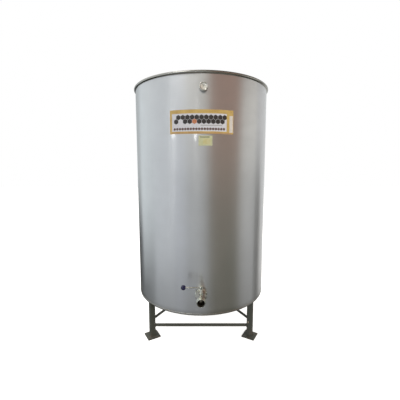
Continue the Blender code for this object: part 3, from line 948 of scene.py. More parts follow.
def fill_comb(tree: Tree, given: Outputs) -> Socket:
    """Adds the nodes of rows of six-sided cells, some left out at random, laid flat and then wrapped.

    Args:
        tree: The tree.
        given: Its inputs.

    Returns:
        The cells round the wall.
    """
    width, columns, rows = (given[name] for name in ("Cell width", "Columns", "Rows"))
    pitch = ("ADD", width, given["Gap"])
    up = ("MULTIPLY", ("MULTIPLY", pitch, math.sqrt(3) / 2), ("SUBTRACT", rows, 1.0))
    across = ("MULTIPLY", pitch, ("SUBTRACT", columns, 1.0))
    inputs = {"Size X": across, "Size Y": ("MAXIMUM", up, 1e-6), "Vertices X": columns, "Vertices Y": rows}
    grid = add_node(tree, "GeometryNodeMeshGrid", inputs)[0]
    number = add_node(tree, "GeometryNodeInputIndex")[0]
    odd_row = ("MODULO", ("MODULO", number, rows), 2.0)
    shift = add_node(tree, "ShaderNodeCombineXYZ", {0: ("MULTIPLY", ("MULTIPLY", odd_row, 0.5), pitch)})[0]
    spots = add_node(tree, "GeometryNodeSetPosition", {"Geometry": grid, "Offset": shift})[0]
    limits = {2: 0.0, 3: 1.0, "Seed": given["Seed"]}
    chance = add_node(tree, "FunctionNodeRandomValue", limits, data_type="FLOAT")[1]
    above, below = (
        add_node(tree, "FunctionNodeCompare", {0: chance, 1: given[name]}, operation=operation)[0]
        for name, operation in (("Lowest", "GREATER_EQUAL"), ("Highest", "LESS_THAN"))
    )
    chosen = add_node(tree, "FunctionNodeBooleanMath", {0: above, 1: below}, operation="AND")[0]
    inputs = {"Vertices": 6, "Radius": ("DIVIDE", width, math.sqrt(3)), "Depth": given["Thickness"]}
    cell = add_node(tree, "GeometryNodeMeshCylinder", inputs, fill_type="TRIANGLE_FAN")[0]
    inputs = {"Geometry": cell, "Rotation": (0.0, 0.0, math.pi / 6)}
    upright = add_node(tree, "GeometryNodeTransform", inputs)[0]
    inputs = {"Points": spots, "Selection": chosen, "Instance": upright}
    cells = add_node(tree, "GeometryNodeInstanceOnPoints", inputs)[0]
    whole = add_node(tree, "GeometryNodeRealizeInstances", {"Geometry": cells})[0]
    flat = add_node(tree, "ShaderNodeSeparateXYZ", {0: add_node(tree, "GeometryNodeInputPosition")[0]})
    turn = ("DIVIDE", ("ADD", flat[0], given["Aside"]), given["Wall radius"])
    far = ("ADD", ("ADD", flat[2], given["Out"]), given["Wall radius"])
    wrapped = {
        0: ("MULTIPLY", far, ("SINE", turn)),
        1: ("MULTIPLY", ("MULTIPLY", far, ("COSINE", turn)), -1.0),
        2: ("ADD", flat[1], given["Height"]),
    }
    inputs = {0: add_node(tree, "ShaderNodeCombineXYZ", wrapped)[0], 1: given["Tank axis"]}
    placed = add_node(tree, "ShaderNodeVectorMath", inputs, operation="ADD")[0]
    return add_node(tree, "GeometryNodeSetPosition", {"Geometry": whole, "Position": placed})[0]


WELD_BEAD = NodeRecipe(
    "weld bead", {"Float": ["Bead radius", "Ripple spacing", "Ripple height"], "Int": ["Seed"]}, fill_weld
)
RIM_BEAD = NodeRecipe(
    "rolled rim",
    {"Float": ["Ring radius", "Bead radius"], "Int": ["Steps round", "Steps across"], "Vector": ["Centre"]},
    fill_rim,
)
COMB = NodeRecipe(
    "printed comb",
    {
        "Int": ["Columns", "Rows", "Seed"],
        "Float": ["Cell width", "Gap", "Thickness", "Lowest", "Highest", "Aside", "Height", "Out"]
        + ["Wall radius"],
        "Vector": ["Tank axis"],
    },
    fill_comb,
)
RIPPLE_HEIGHT = 0.16  # a weld ripple's height as a share of the bead's radius


def lay_weld(
    name: str,
    points: Sequence[Vector],
    radius: float,
    spacing: float,
    finish: Finish = WELD,
    closed: bool = True,
) -> None:
    """Lays one weld bead along a path of the tank body.

    Args:
        name: The piece's name.
        points: The path.
        radius: Half the bead's width.
        spacing: The distance between ripples.
        finish: The bead's finish.
        closed: Whether the path meets its own start.
    """
    path = bpy.data.meshes.new("path")
    count = len(points)
    edges = [(i, (i + 1) % count) for i in range(count if closed else count - 1)]
    path.from_pydata([tuple(point) for point in points], edges, [])
    values = {"Bead radius": radius, "Ripple spacing": spacing, "Ripple height": RIPPLE_HEIGHT}
    mesh = WELD_BEAD.mesh(finish, {**values, "Seed": len(name)}, path)
    mesh.shade_smooth()
    add_piece(name, mesh, finish)


@dataclass(frozen=True)
class Hole:
    """A round hole in a rolled sheet: how far round from its foremost line, how high, and its radius."""

    aside: float
    height: float
    radius: float


@dataclass
class RolledShell:
    """A sheet rolled to a cylinder and seamed at the back, with round holes and faint buckles."""

    radius: float
    sheet: float
    low: float
    high: float
    holes: tuple[Hole, ...]
    columns: int = 240
    row_gap: float = 0.04
    hole_reach: float = 0.05  # half the patch round a hole, where the net turns from square to round
    hole_rows: int = 8
    hole_rings: int = 4
    buckle: float = 0.35 * MM
    calm: float = 0.09  # a strip beside each edge and hole where the sheet is true

    def heights(self) -> list[float]:
        """Spaces the net's rows, closer together beside each hole.

        Returns:
            Their heights.
        """
        count = round((self.high - self.low) / self.row_gap)
        rows = [self.low + (self.high - self.low) * i / count for i in range(count + 1)]
        for hole in self.holes:
            rows = [z for z in rows if abs(z - hole.height) > self.hole_reach + self.row_gap / 3]
            shares = [2 * i / self.hole_rows - 1 for i in range(self.hole_rows + 1)]
            rows += [hole.height + self.hole_reach * share for share in shares]
        return sorted(rows)

    def net(self) -> tuple[list[Point], list[list[tuple[int, Point]]]]:
        """Lays the sheet out flat.

        Returns:
            The net's points, and its faces, each as corners of (point, place on the map).
        """
        rows = self.heights()
        step = math.tau * self.radius / self.columns
        points: list[Point] = []
        faces: list[list[tuple[int, Point]]] = []
        numbers: dict[tuple[int, int], int] = {}

        def corner(column: int, row: int) -> tuple[int, Point]:
            """Finds the net's point at a column and row, which is new or shared.

            Args:
                column: The column.
                row: The row.

            Returns:
                The point's number and its place on the map.
            """
            key = (column % self.columns, row)
            if key not in numbers:
                numbers[key] = len(points)
                points.append(((key[0] - self.columns / 2) * step, rows[row]))
            return numbers[key], ((column - self.columns / 2) * step, rows[row])

        holed = set()
        for hole in self.holes:
            asides = [(i - self.columns / 2) * step - hole.aside for i in range(self.columns)]
            near = [i for i, aside in enumerate(asides) if abs(aside) <= self.hole_reach]
            reach = self.hole_reach + WELD_DISTANCE
            inside = [j for j, z in enumerate(rows) if abs(z - hole.height) <= reach]
            left, right, low, high = near[0], near[-1], inside[0], inside[-1]
            holed |= {(i, j) for i in range(left, right) for j in range(low, high)}
            edge = [(i, low) for i in range(left, right)] + [(right, j) for j in range(low, high)]
            edge += [(i, high) for i in range(right, left, -1)] + [(left, j) for j in range(high, low, -1)]
            ring = [corner(*spot) for spot in edge]
            centre = Vector((hole.aside, hole.height))
            starts = [Vector(points[number]) for number, _ in ring]
            for level in range(1, self.hole_rings + 1):
                inner = []
                for start in starts:
                    rim = centre + (start - centre).normalized() * hole.radius
                    spot = tuple(start.lerp(rim, level / self.hole_rings))
                    inner.append((len(points), spot))
                    points.append(spot)
                for k, first in enumerate(ring):
                    after = (k + 1) % len(ring)
                    faces.append([first, ring[after], inner[after], inner[k]])
                ring = inner
        for i in range(self.columns):
            for j in range(len(rows) - 1):
                if (i, j) not in holed:
                    faces.append([corner(i, j), corner(i + 1, j), corner(i + 1, j + 1), corner(i, j + 1)])
        return points, faces

    def strain(self, aside: float, height: float) -> float:
        """Works out how far the sheet stands out from its true cylinder.

        Args:
            aside: How far round it is from the foremost line.
            height: How high it is.

        Returns:
            The distance, a sum of slow waves that fades at the edges and holes.
        """
        turn = aside / self.radius
        rise = (height - self.low) / (self.high - self.low) * math.tau
        wave = math.sin(3 * turn + 1.1 * rise) + math.sin(5 * turn - 1.7 * rise + 1.3)
        wave += math.sin(8 * turn + 0.9 * rise + 2.1) * math.sin(2.3 * rise + 0.4)
        clear = [height - self.low, self.high - height]
        clear += [math.dist((aside, height), (hole.aside, hole.height)) - hole.radius for hole in self.holes]
        share = max(0.0, min(1.0, min(clear) / self.calm))
        return self.buckle * wave / 3 * share**2 * (3 - 2 * share)

    def mesh(self) -> Mesh:
        """Rolls the sheet and gives it its thickness.

        Returns:
            The sheet's mesh, in place.
        """
        points, faces = self.net()
        bm = new_shape()
        outer, inner = (
            [
                bm.verts.new(around_axis(self.radius - depth + self.strain(x, z), x / self.radius, z))
                for x, z in points
            ]
            for depth in (0.0, self.sheet)
        )
        edges: dict[tuple[int, int], tuple[Point, Point]] = {}
        for corners in faces:
            for side, order in ((outer, corners), (inner, corners[::-1])):
                add_face(bm, [side[number] for number, _ in order], [spot for _, spot in order])
            for (a, spot_a), (b, spot_b) in zip(corners, corners[1:] + corners[:1]):
                if edges.pop((b, a), None) is None:
                    edges[(a, b)] = (spot_a, spot_b)
        for (a, b), (spot_a, spot_b) in edges.items():
            add_face(bm, (outer[b], outer[a], inner[a], inner[b]), (spot_b, spot_a, spot_a, spot_b))
        return meshed(bm)


@dataclass
class TankShell:
    """The outer wall, the vessel inside it, and the sheets that close the jacket between them."""

    steps: int = 240
    rim_steps: int = 24
    hole_steps: int = 64
    wall_sheet: float = 1.5 * MM
    vessel_sheet: float = 2.0 * MM
    floor_sheet: float = 2.5 * MM
    knuckle: float = 10 * MM
    pipe_radius: float = 21 * MM
    filler_radius: float = 21.2 * MM
    fit: float = 0.3 * MM
    bead: float = 1.7 * MM  # half a weld bead's width
    ripple: float = 6 * MM  # real ripples are about 1.5 mm, too fine to show

    def build(self) -> None:
        """Builds every sheet of the tank and the welds that join them."""
        self.build_walls()
        self.build_rim()
        self.build_pan()
        self.build_vessel_floor()
        self.build_welds()

    def build_walls(self) -> None:
        """Builds the two rolled sheets."""
        outlet = Hole(0.0, OUTLET_HEIGHT, self.pipe_radius + self.fit)
        filler = Hole(FILLER_ASIDE, FILLER_HEIGHT, self.filler_radius + self.fit)
        for name, node, sheet, finish, holes in (
            ("tank_wall", "outer_wall", self.wall_sheet, SHEET, (outlet, filler)),
            ("inner_vessel", "vessel_wall", self.vessel_sheet, VESSEL_SHEET, (outlet,)),
        ):
            low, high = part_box(f"{node}_low")[0].z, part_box(node)[1].z
            mesh = RolledShell(half_width(node), sheet, low, high, holes).mesh()
            add_piece(name, mesh, finish, [n for n in frame["nodes"] if n.startswith(node)])

    def build_rim(self) -> None:
        """Builds the rolled rim and the ring that covers the jacket."""
        low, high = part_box("rim_bead")
        bead = (high.z - low.z) / 2
        sizes = {"Ring radius": half_width("rim_bead") - bead, "Bead radius": bead}
        steps = {"Steps round": self.steps, "Steps across": self.rim_steps}
        mesh = RIM_BEAD.mesh(RIM_SHEET, {**sizes, **steps, "Centre": (AXIS.x, AXIS.y, high.z - bead)})
        mesh.shade_smooth()
        add_piece("rolled_rim", mesh, RIM_SHEET, ["rim_bead"])
        low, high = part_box("jacket_top_ring")
        outer = half_width("jacket_top_ring")
        inner = half_width("vessel_wall") - self.vessel_sheet
        edge = self.vessel_sheet / 3
        ring = [
            (outer, high.z, 0),
            (outer, high.z - self.vessel_sheet, 0),
            (inner, low.z, edge),
            (inner, low.z + self.vessel_sheet, edge),
        ]
        mesh = lathed(ring, self.steps, Matrix.Translation(AXIS))
        add_piece("jacket_cover_ring", mesh, SHEET, ["jacket_top_ring"])

    def build_pan(self) -> None:
        """Builds the pan under the jacket, with its rounded knuckle."""
        low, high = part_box("jacket_floor")
        sheet = self.vessel_sheet
        pan = [
            (0, low.z + sheet, 0),
            (WALL_RADIUS - sheet, low.z + sheet, self.knuckle - sheet),
            (WALL_RADIUS - sheet, high.z, 0),
            (WALL_RADIUS, high.z, 0),
            (WALL_RADIUS, low.z, self.knuckle * 0.98),
            (0, low.z, 0),
        ]
        mesh = lathed(pan, self.steps, Matrix.Translation(AXIS), closed=False)
        add_piece("bottom_pan", mesh, SHEET, ["jacket_floor"])

    def build_vessel_floor(self) -> None:
        """Builds the sheet that falls to the outlet, and the fillet weld round it."""
        low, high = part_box("vessel_floor")
        front = low.z + self.floor_sheet
        slope = (high.z - front) / (high.y - low.y)
        radius = half_width("vessel_floor")
        disc = [(0, 0), (radius, 0), (radius, -self.floor_sheet), (0, -self.floor_sheet)]
        mesh = turned(disc, self.steps, Matrix.Translation(AXIS))
        for vertex in mesh.vertices:
            vertex.co.z += front + slope * (vertex.co.y - low.y)
        add_piece("sloping_floor", mesh, VESSEL_SHEET, ["vessel_floor"])
        path = self.level_ring(radius - self.bead / 2, front + self.bead / 2)
        for spot in path:
            spot.z += slope * (spot.y - low.y)
        lay_weld("floor_fillet_weld", path, 2 * self.bead, self.ripple)

    def level_ring(self, radius: float, height: float) -> list[Vector]:
        """Points on a level circle about the tank's axis."""
        return [AXIS + Vector((x, y, height)) for x, y in circle(radius, self.steps)]

    def build_welds(self) -> None:
        """Lays the welds that show on the outer wall and inside the rim."""
        seam = WALL_RADIUS - self.bead * 0.45  # the beads sit a little proud of the wall
        lay_weld("knuckle_weld", self.level_ring(seam, WALL_BOTTOM), self.bead, self.ripple)
        back = [AXIS + Vector((0, seam, z)) for z in (WALL_BOTTOM + self.bead, WALL_BOX[1].z - self.bead)]
        lay_weld("back_seam_weld", back, self.bead, self.ripple, closed=False)
        for name, aside, height, radius in (
            ("outlet_weld", 0.0, OUTLET_HEIGHT, self.pipe_radius),
            ("filler_weld", FILLER_ASIDE, FILLER_HEIGHT, self.filler_radius),
        ):
            spots = circle(radius + self.bead / 2, self.hole_steps)
            loop = [on_wall(aside + x, height + y, self.bead / 4) for x, y in spots]
            lay_weld(name, loop, self.bead, self.ripple / 2)
        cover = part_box("jacket_top_ring")[1]
        lay_weld("cover_ring_weld", self.level_ring(cover.x - AXIS.x, cover.z), self.bead, self.ripple)


@dataclass(frozen=True)
class SpannerSlots:
    """The slots in the rim of a round nut, evenly spaced from a first angle."""

    width: float
    depth: float
    first: float
    count: int = 6
    ease: float = 0.5 * MM

    def cut(self, blank: Mesh, radius: float, length: float, place: Matrix) -> Mesh:
        """Cuts the slots and eases the nut's edges.

        Args:
            blank: The nut without slots.
            radius: The nut's radius.
            length: A length that passes the nut.
            place: Where the nut's axis is.

        Returns:
            The slotted nut.
        """
        bm = bmesh.new()
        for i in range(self.count):
            around = Matrix.Rotation(self.first + math.tau * i / self.count, 4, "Z")
            size = Matrix.Diagonal((2 * self.depth, self.width, length, 1))
            at = place @ around @ Matrix.Translation((radius, 0, 0)) @ size
            bmesh.ops.create_cube(bm, size=1, matrix=at)
        return eased_edges(combined(blank, Meet.CUT, meshed(bm)), self.ease)


@dataclass
class Filler:
    """The capped neck near the rim, through which the jacket is filled."""

    steps: int = 64
    neck_bore: float = 18 * MM
    neck_inside: float = 10 * MM
    neck_reach: float = 18 * MM
    cap_radius: float = 25.5 * MM
    cap_start: float = 5 * MM
    cap_end: float = 26 * MM
    cap_ease: float = 3 * MM
    dish: Corner = (18.5 * MM, 21.5 * MM, 3 * MM)  # radius of its floor and its edge, and depth
    dimple: Point = (4.5 * MM, 2 * MM)  # radius and depth
    slots: SpannerSlots = SpannerSlots(5 * MM, 3 * MM, math.radians(30))
    edge: float = 0.8 * MM
    fit: float = 0.3 * MM

    def build(self) -> None:
        """Builds the neck and its slotted cap."""
        turn = Matrix.Rotation(FILLER_ASIDE / WALL_RADIUS, 4, "Z")
        place = Matrix.Translation(on_wall(FILLER_ASIDE, FILLER_HEIGHT)) @ turn @ OUTWARDS
        outer = TankShell.filler_radius
        neck = [
            (outer, self.neck_reach, self.edge),
            (outer, -self.neck_inside, 0),
            (self.neck_bore, -self.neck_inside, 0),
            (self.neck_bore, self.neck_reach, self.edge),
        ]
        add_piece("filler_neck_pipe", lathed(neck, self.steps, place), FITTING, ["filler_neck"])
        inner, top = outer + self.fit, self.neck_reach + self.fit
        dish_in, dish_out, dish_depth = self.dish
        dimple_radius, dimple_depth = self.dimple
        dish = self.cap_end - dish_depth
        cap = [
            (0, dish - dimple_depth, 0),
            (dimple_radius * 0.7, dish - dimple_depth, self.edge),
            (dimple_radius, dish, 0.6 * MM),
            (dish_in, dish, 1.5 * MM),
            (dish_out, self.cap_end, self.edge),
            (self.cap_radius, self.cap_end, self.cap_ease),
            (self.cap_radius, self.cap_start, 1 * MM),
            (inner, self.cap_start, 0.5 * MM),
            (inner, top, 0),
            (0, top, 0),
        ]
        blank = lathed(cap, self.steps, place, closed=False)
        mesh = self.slots.cut(blank, self.cap_radius, 3 * self.cap_end, place)
        add_piece("slotted_filler_cap", mesh, FITTING, ["filler_cap"])


@dataclass
class OutletValve:
    """The outlet pipe, the slotted union nut, and the ball valve's body, spout and gland nut.

    Sizes along the outlet are measured out from the wall, and those of the boss up from the outlet's axis.
    """

    steps: int = 64
    bore: float = 19 * MM
    pipe_radius: float = 21 * MM
    pipe_inside: float = 28.5 * MM
    ferrule_radius: float = 28 * MM
    ferrule: Point = (12 * MM, 20 * MM)
    nut_radius: float = 38.5 * MM
    nut: Point = (8.5 * MM, 36 * MM)
    nut_lip: float = 3 * MM
    slots: SpannerSlots = SpannerSlots(9 * MM, 5 * MM, math.radians(15))
    thread_radius: float = 30.7 * MM
    shoulder_radius: float = 34 * MM
    shoulder_end: float = 60 * MM
    body_radius: float = 28 * MM
    body_front: float = 113 * MM
    stem_reach: float = 95 * MM
    cavity: float = 24.3 * MM
    boss_radius: float = 12.5 * MM
    boss_top: float = 33 * MM
    stem_bore: float = 6.6 * MM
    stem_bore_top: float = 60 * MM
    voxel: float = 1.0 * MM  # how finely the casting is smoothed
    collar_radius: float = 29 * MM
    collar_length: float = 7 * MM
    neck_radius: float = 22.5 * MM
    ring_radius: float = 25.5 * MM
    ring_length: float = 10.5 * MM
    reach: float = 138 * MM
    mouth_radius: float = 23 * MM
    mouth_depth: float = 16 * MM  # over which the bore widens to the mouth
    seat_start: float = 108 * MM
    # where the dark sheet of painted shade in the bore starts and ends, and how thick it is
    shade_sheet_start: float = 112 * MM
    shade_sheet_end: float = 136.5 * MM
    shade_sheet_thickness: float = 0.3 * MM
    gland_radius: float = 13 * MM
    gland_top: float = 44 * MM
    fit: float = 0.3 * MM

    def build(self) -> None:
        """Builds every fixed piece of the outlet."""
        self.build_pipe_and_nut()
        self.build_body()
        self.build_spout()
        self.build_gland()

    def build_pipe_and_nut(self) -> None:
        """Builds the pipe with its ferrule, and the nut that draws the valve to it."""
        start, end = self.ferrule
        pipe = [
            (self.ferrule_radius, end, 0.6 * MM),
            (self.ferrule_radius, start, 1.0 * MM),
            (self.pipe_radius, start, 1.5 * MM),
            (self.pipe_radius, -self.pipe_inside, 0.3 * MM),
            (self.bore, -self.pipe_inside, 0.3 * MM),
            (self.bore, end, 0.5 * MM),
        ]
        add_piece("outlet_stub", lathed(pipe, self.steps, OUTLET_PLACE), VALVE_METAL, ["outlet_pipe"])
        low, high = self.nut
        nut = [
            (self.nut_radius, high, 2.0 * MM),
            (self.nut_radius, low, 2.0 * MM),
            (self.pipe_radius + self.fit, low, 0.5 * MM),
            (self.pipe_radius + self.fit, low + self.nut_lip, 0),
            (self.thread_radius + self.fit, low + self.nut_lip, 0),
            (self.thread_radius + self.fit, high, 0.8 * MM),
        ]
        blank = lathed(nut, self.steps, OUTLET_PLACE)
        mesh = self.slots.cut(blank, self.nut_radius, 2 * high, OUTLET_PLACE)
        add_piece("slotted_union_nut", mesh, VALVE_METAL, ["union_nut"])

    def build_body(self) -> None:
        """Builds the cast body: a blank smoothed as one casting, then bored."""
        start, shoulder = self.ferrule[1] + self.fit, self.nut[1] + self.fit
        blank = [
            (0, self.body_front, 0),
            (self.body_radius, self.body_front, 1.5 * MM),
            (self.body_radius, self.stem_reach - self.boss_radius, 12 * MM),
            (self.shoulder_radius, self.shoulder_end, 6 * MM),
            (self.shoulder_radius, shoulder, 2.0 * MM),
            (self.thread_radius, shoulder, 0.5 * MM),
            (self.thread_radius, start, 0.8 * MM),
            (0, start, 0),
        ]
        casting = lathed(blank, self.steps, OUTLET_PLACE, closed=False)
        radius, top = self.boss_radius, self.boss_top
        boss = [(0, 0, 0), (radius, 0, 0), (radius, top, 1 * MM), (0, top, 0)]
        obj = loose(combined(casting, Meet.JOIN, lathed(boss, self.steps, STEM_PLACE, closed=False)))
        modified(obj, "REMESH", mode="VOXEL", voxel_size=self.voxel)
        modified(obj, "SMOOTH", factor=0.5, iterations=4)
        cast = settled(obj)
        front = self.body_front + self.bore
        meets = math.degrees(math.acos(self.bore / self.cavity))
        waterway = [(0, front), (self.cavity, front), *arc((0, self.stem_reach), self.cavity, 0, -meets, 12)]
        bore = turned([*waterway, (self.bore, 0), (0, 0)], self.steps, OUTLET_PLACE)
        hole = [(0, 0), (self.stem_bore, 0), (self.stem_bore, self.stem_bore_top), (0, self.stem_bore_top)]
        mesh = combined(cast, Meet.CUT, bore, turned(hole, self.steps // 2, STEM_PLACE))
        add_piece("cast_valve_body", mesh, CASTING, ["valve_body"])

    def build_spout(self) -> None:
        """Builds the spout, with its flared mouth and rolled lip, and a dark sheet in its bore that paints
        the shade there.
        """
        meets = math.degrees(math.acos(self.bore / self.cavity))
        seat_angle = math.degrees(math.asin((self.seat_start - self.stem_reach) / self.cavity))
        seat = arc((0, self.stem_reach), self.cavity, seat_angle, meets, 8)
        collar = self.body_front + self.fit
        ring = self.reach - self.ring_length
        insert = self.cavity - 2 * self.fit
        flare = self.reach - self.mouth_depth
        spout = [
            (self.bore, flare, 4 * MM),
            (self.mouth_radius, self.reach, 0.8 * MM),
            (self.ring_radius, self.reach, 1.4 * MM),
            (self.ring_radius, ring, 1.2 * MM),
            (self.neck_radius, ring - self.fit, 1.5 * MM),
            (self.neck_radius, collar + self.collar_length, 2.0 * MM),
            (self.collar_radius, collar + self.collar_length, 1.5 * MM),
            (self.collar_radius, collar, 0.6 * MM),
            (insert, collar, 0),
            (insert, self.seat_start, 0),
            *[(x, y, 0) for x, y in seat],
        ]
        add_piece("spout", lathed(spout, self.steps, OUTLET_PLACE), VALVE_METAL, ["valve_spout"])
        widening = (self.mouth_radius - self.bore) / self.mouth_depth * (self.shade_sheet_end - flare)
        outer, inner = (
            [(radius, self.shade_sheet_start), (radius, flare), (radius + widening, self.shade_sheet_end)]
            for radius in (self.bore + self.shade_sheet_thickness / 2, self.bore - self.shade_sheet_thickness)
        )
        # a dark sheet in the bore: painted shade
        add_piece("honey_residue_in_spout", turned(outer + inner[::-1], self.steps, OUTLET_PLACE), SPOUT_SHADE)

    def build_gland(self) -> None:
        """Builds the hexagonal gland nut round the stem."""
        low, high = self.boss_top + self.fit, self.gland_top
        blank = [
            (self.stem_bore, high, 0.5 * MM),
            (self.gland_radius * 0.86, high, 0.3 * MM),
            (self.gland_radius, high - 2.2 * MM, 0.5 * MM),
            (self.gland_radius, low, 0),
            (self.stem_bore, low, 0),
        ]
        hexagon = swept(circle(self.gland_radius, 6), low - self.fit, high + self.fit, STEM_PLACE)
        mesh = combined(lathed(blank, self.steps, STEM_PLACE), Meet.CROSS, hexagon)
        add_piece("hexagon_gland_nut", eased_edges(mesh, 0.25 * MM), VALVE_METAL, ["gland_nut"])


@dataclass
class ValveLever:
    """The ball, stem, hub, rod and knob, which turn together. Heights are from the outlet's axis."""

    steps: int = 48
    ball_steps: int = 64
    rod_steps: int = 32
    socket_steps: int = 24
    arc_steps: int = 32  # from top to bottom of the ball and of the knob
    ball_radius: float = 23.5 * MM
    ball_flat: float = 22.5 * MM
    port_radius: float = 16 * MM
    foot_radius: float = 6 * MM
    stem_radius: float = 8 * MM
    shoulder: float = 44.8 * MM
    hub_radius: float = 11.5 * MM
    hub_start: float = 71 * MM
    hub_top: float = 86 * MM
    rod_height: float = 78 * MM
    rod_radius: float = 4 * MM
    rod_socket: float = 6 * MM
    knob_radius: float = 15 * MM
    knob_socket: float = 12 * MM
    knob_neck: float = 7.5 * MM  # half the width of the flat where the rod goes in
    knob_ease: float = 0.6 * MM
    fit: float = 0.3 * MM

    def build(self) -> None:
        """Builds the turning pieces on the lever's body."""
        sideways = Matrix.Rotation(-math.pi / 2, 4, "Y")  # turns +Z to -X, where the lever points at rest
        rod_place = STEM_PLACE @ Matrix.Translation((0, 0, self.rod_height)) @ sideways
        reach = STEM_PLACE.translation.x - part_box("lever_knob")[0].x - self.knob_radius
        self.build_ball_and_stem(sideways)
        self.build_hub(rod_place, reach)
        self.build_rod_and_knob(rod_place, reach)

    def add(self, name: str, mesh: Mesh, finish: Finish, node: str) -> None:
        """Makes a finished piece of the lever."""
        add_piece(name, mesh, finish, [node], Body.LEVER)

    def build_ball_and_stem(self, sideways: Matrix) -> None:
        """Builds the bored ball and the stem that turns it.

        Args:
            sideways: The turn from upright to the ball's bore.
        """
        flat = math.degrees(math.asin(self.ball_flat / self.ball_radius))
        side = arc((0, 0), self.ball_radius, flat, -90, self.arc_steps)[:-1]
        ball = [(0, self.ball_flat), *side, (0, -self.ball_radius)]
        far = 2 * self.ball_radius
        port = [(0, -far), (self.port_radius, -far), (self.port_radius, far), (0, far)]
        bore = turned(port, self.steps, STEM_PLACE @ sideways)
        mesh = combined(turned(ball, self.ball_steps, STEM_PLACE), Meet.CUT, bore)
        self.add("bored_ball", mesh, BALL, "valve_ball")
        top, foot = self.hub_start - self.fit, self.ball_flat + self.fit
        stem = [
            (0, top, 0),
            (self.stem_radius, top, 0.5 * MM),
            (self.stem_radius, self.shoulder, 1.0 * MM),
            (self.foot_radius, self.shoulder, 0.5 * MM),
            (self.foot_radius, foot, 0.5 * MM),
            (0, foot, 0),
        ]
        self.add("turned_stem", lathed(stem, self.steps, STEM_PLACE, closed=False), STEM_METAL, "valve_stem")

    def build_hub(self, rod_place: Matrix, reach: float) -> None:
        """Builds the hub, with a socket for the rod.

        Args:
            rod_place: Where the rod starts and how it lies.
            reach: How far the knob's middle is from the stem's axis.
        """
        hub = [
            (0, self.hub_top - 0.4 * MM, 0),
            (self.hub_radius * 0.45, self.hub_top, 2.0 * MM),
            (self.hub_radius, self.hub_top, 2.2 * MM),
            (self.hub_radius, self.hub_start, 1.0 * MM),
            (0, self.hub_start, 0),
        ]
        inner, bore = self.hub_radius - self.rod_socket, self.rod_radius + self.fit
        socket = turned([(0, inner), (bore, inner), (bore, reach), (0, reach)], self.socket_steps, rod_place)
        mesh = combined(lathed(hub, self.steps, STEM_PLACE, closed=False), Meet.CUT, socket)
        self.add("stem_hub", mesh, VALVE_METAL, "lever_hub")

    def build_rod_and_knob(self, rod_place: Matrix, reach: float) -> None:
        """Builds the lever's rod and the ball knob on its end.

        Args:
            rod_place: Where the rod starts and how it lies.
            reach: How far the knob's middle is from the stem's axis.
        """
        inner = self.hub_radius - self.rod_socket + self.fit
        end = reach - self.knob_radius + self.knob_socket
        radius = self.rod_radius
        rod = [(0, inner, 0), (radius, inner, 0.5 * MM), (radius, end, 0.5 * MM), (0, end, 0)]
        self.add("lever_rod_bar", lathed(rod, self.rod_steps, rod_place, closed=False), ROD, "lever_rod")
        bore = radius + self.fit
        depth = -self.knob_radius + self.knob_socket + self.fit
        flat = math.degrees(math.asin(self.knob_neck / self.knob_radius)) - 90
        foot = -math.sqrt(self.knob_radius**2 - self.knob_neck**2)
        knob = [(0, self.knob_radius), *arc((0, 0), self.knob_radius, 90, flat, self.arc_steps)[1:]]
        knob += [(bore + self.knob_ease, foot), (bore, foot + self.knob_ease), (bore, depth), (0, depth)]
        mesh = turned(knob, self.steps, rod_place @ Matrix.Translation((0, 0, reach)))
        self.add("ball_knob", mesh, KNOB, "lever_knob")


@dataclass
class Span:
    """What joins two legs: their names, where each stands, and the line between them."""

    name: str
    legs: tuple[str, str]
    places: tuple[Matrix, Matrix]

    @property
    def start(self) -> Vector:
        """The foot of the first leg's axis."""
        return self.places[0].translation

    @property
    def line(self) -> Vector:
        """The way from the first leg's axis to the second's."""
        return self.places[1].translation - self.start


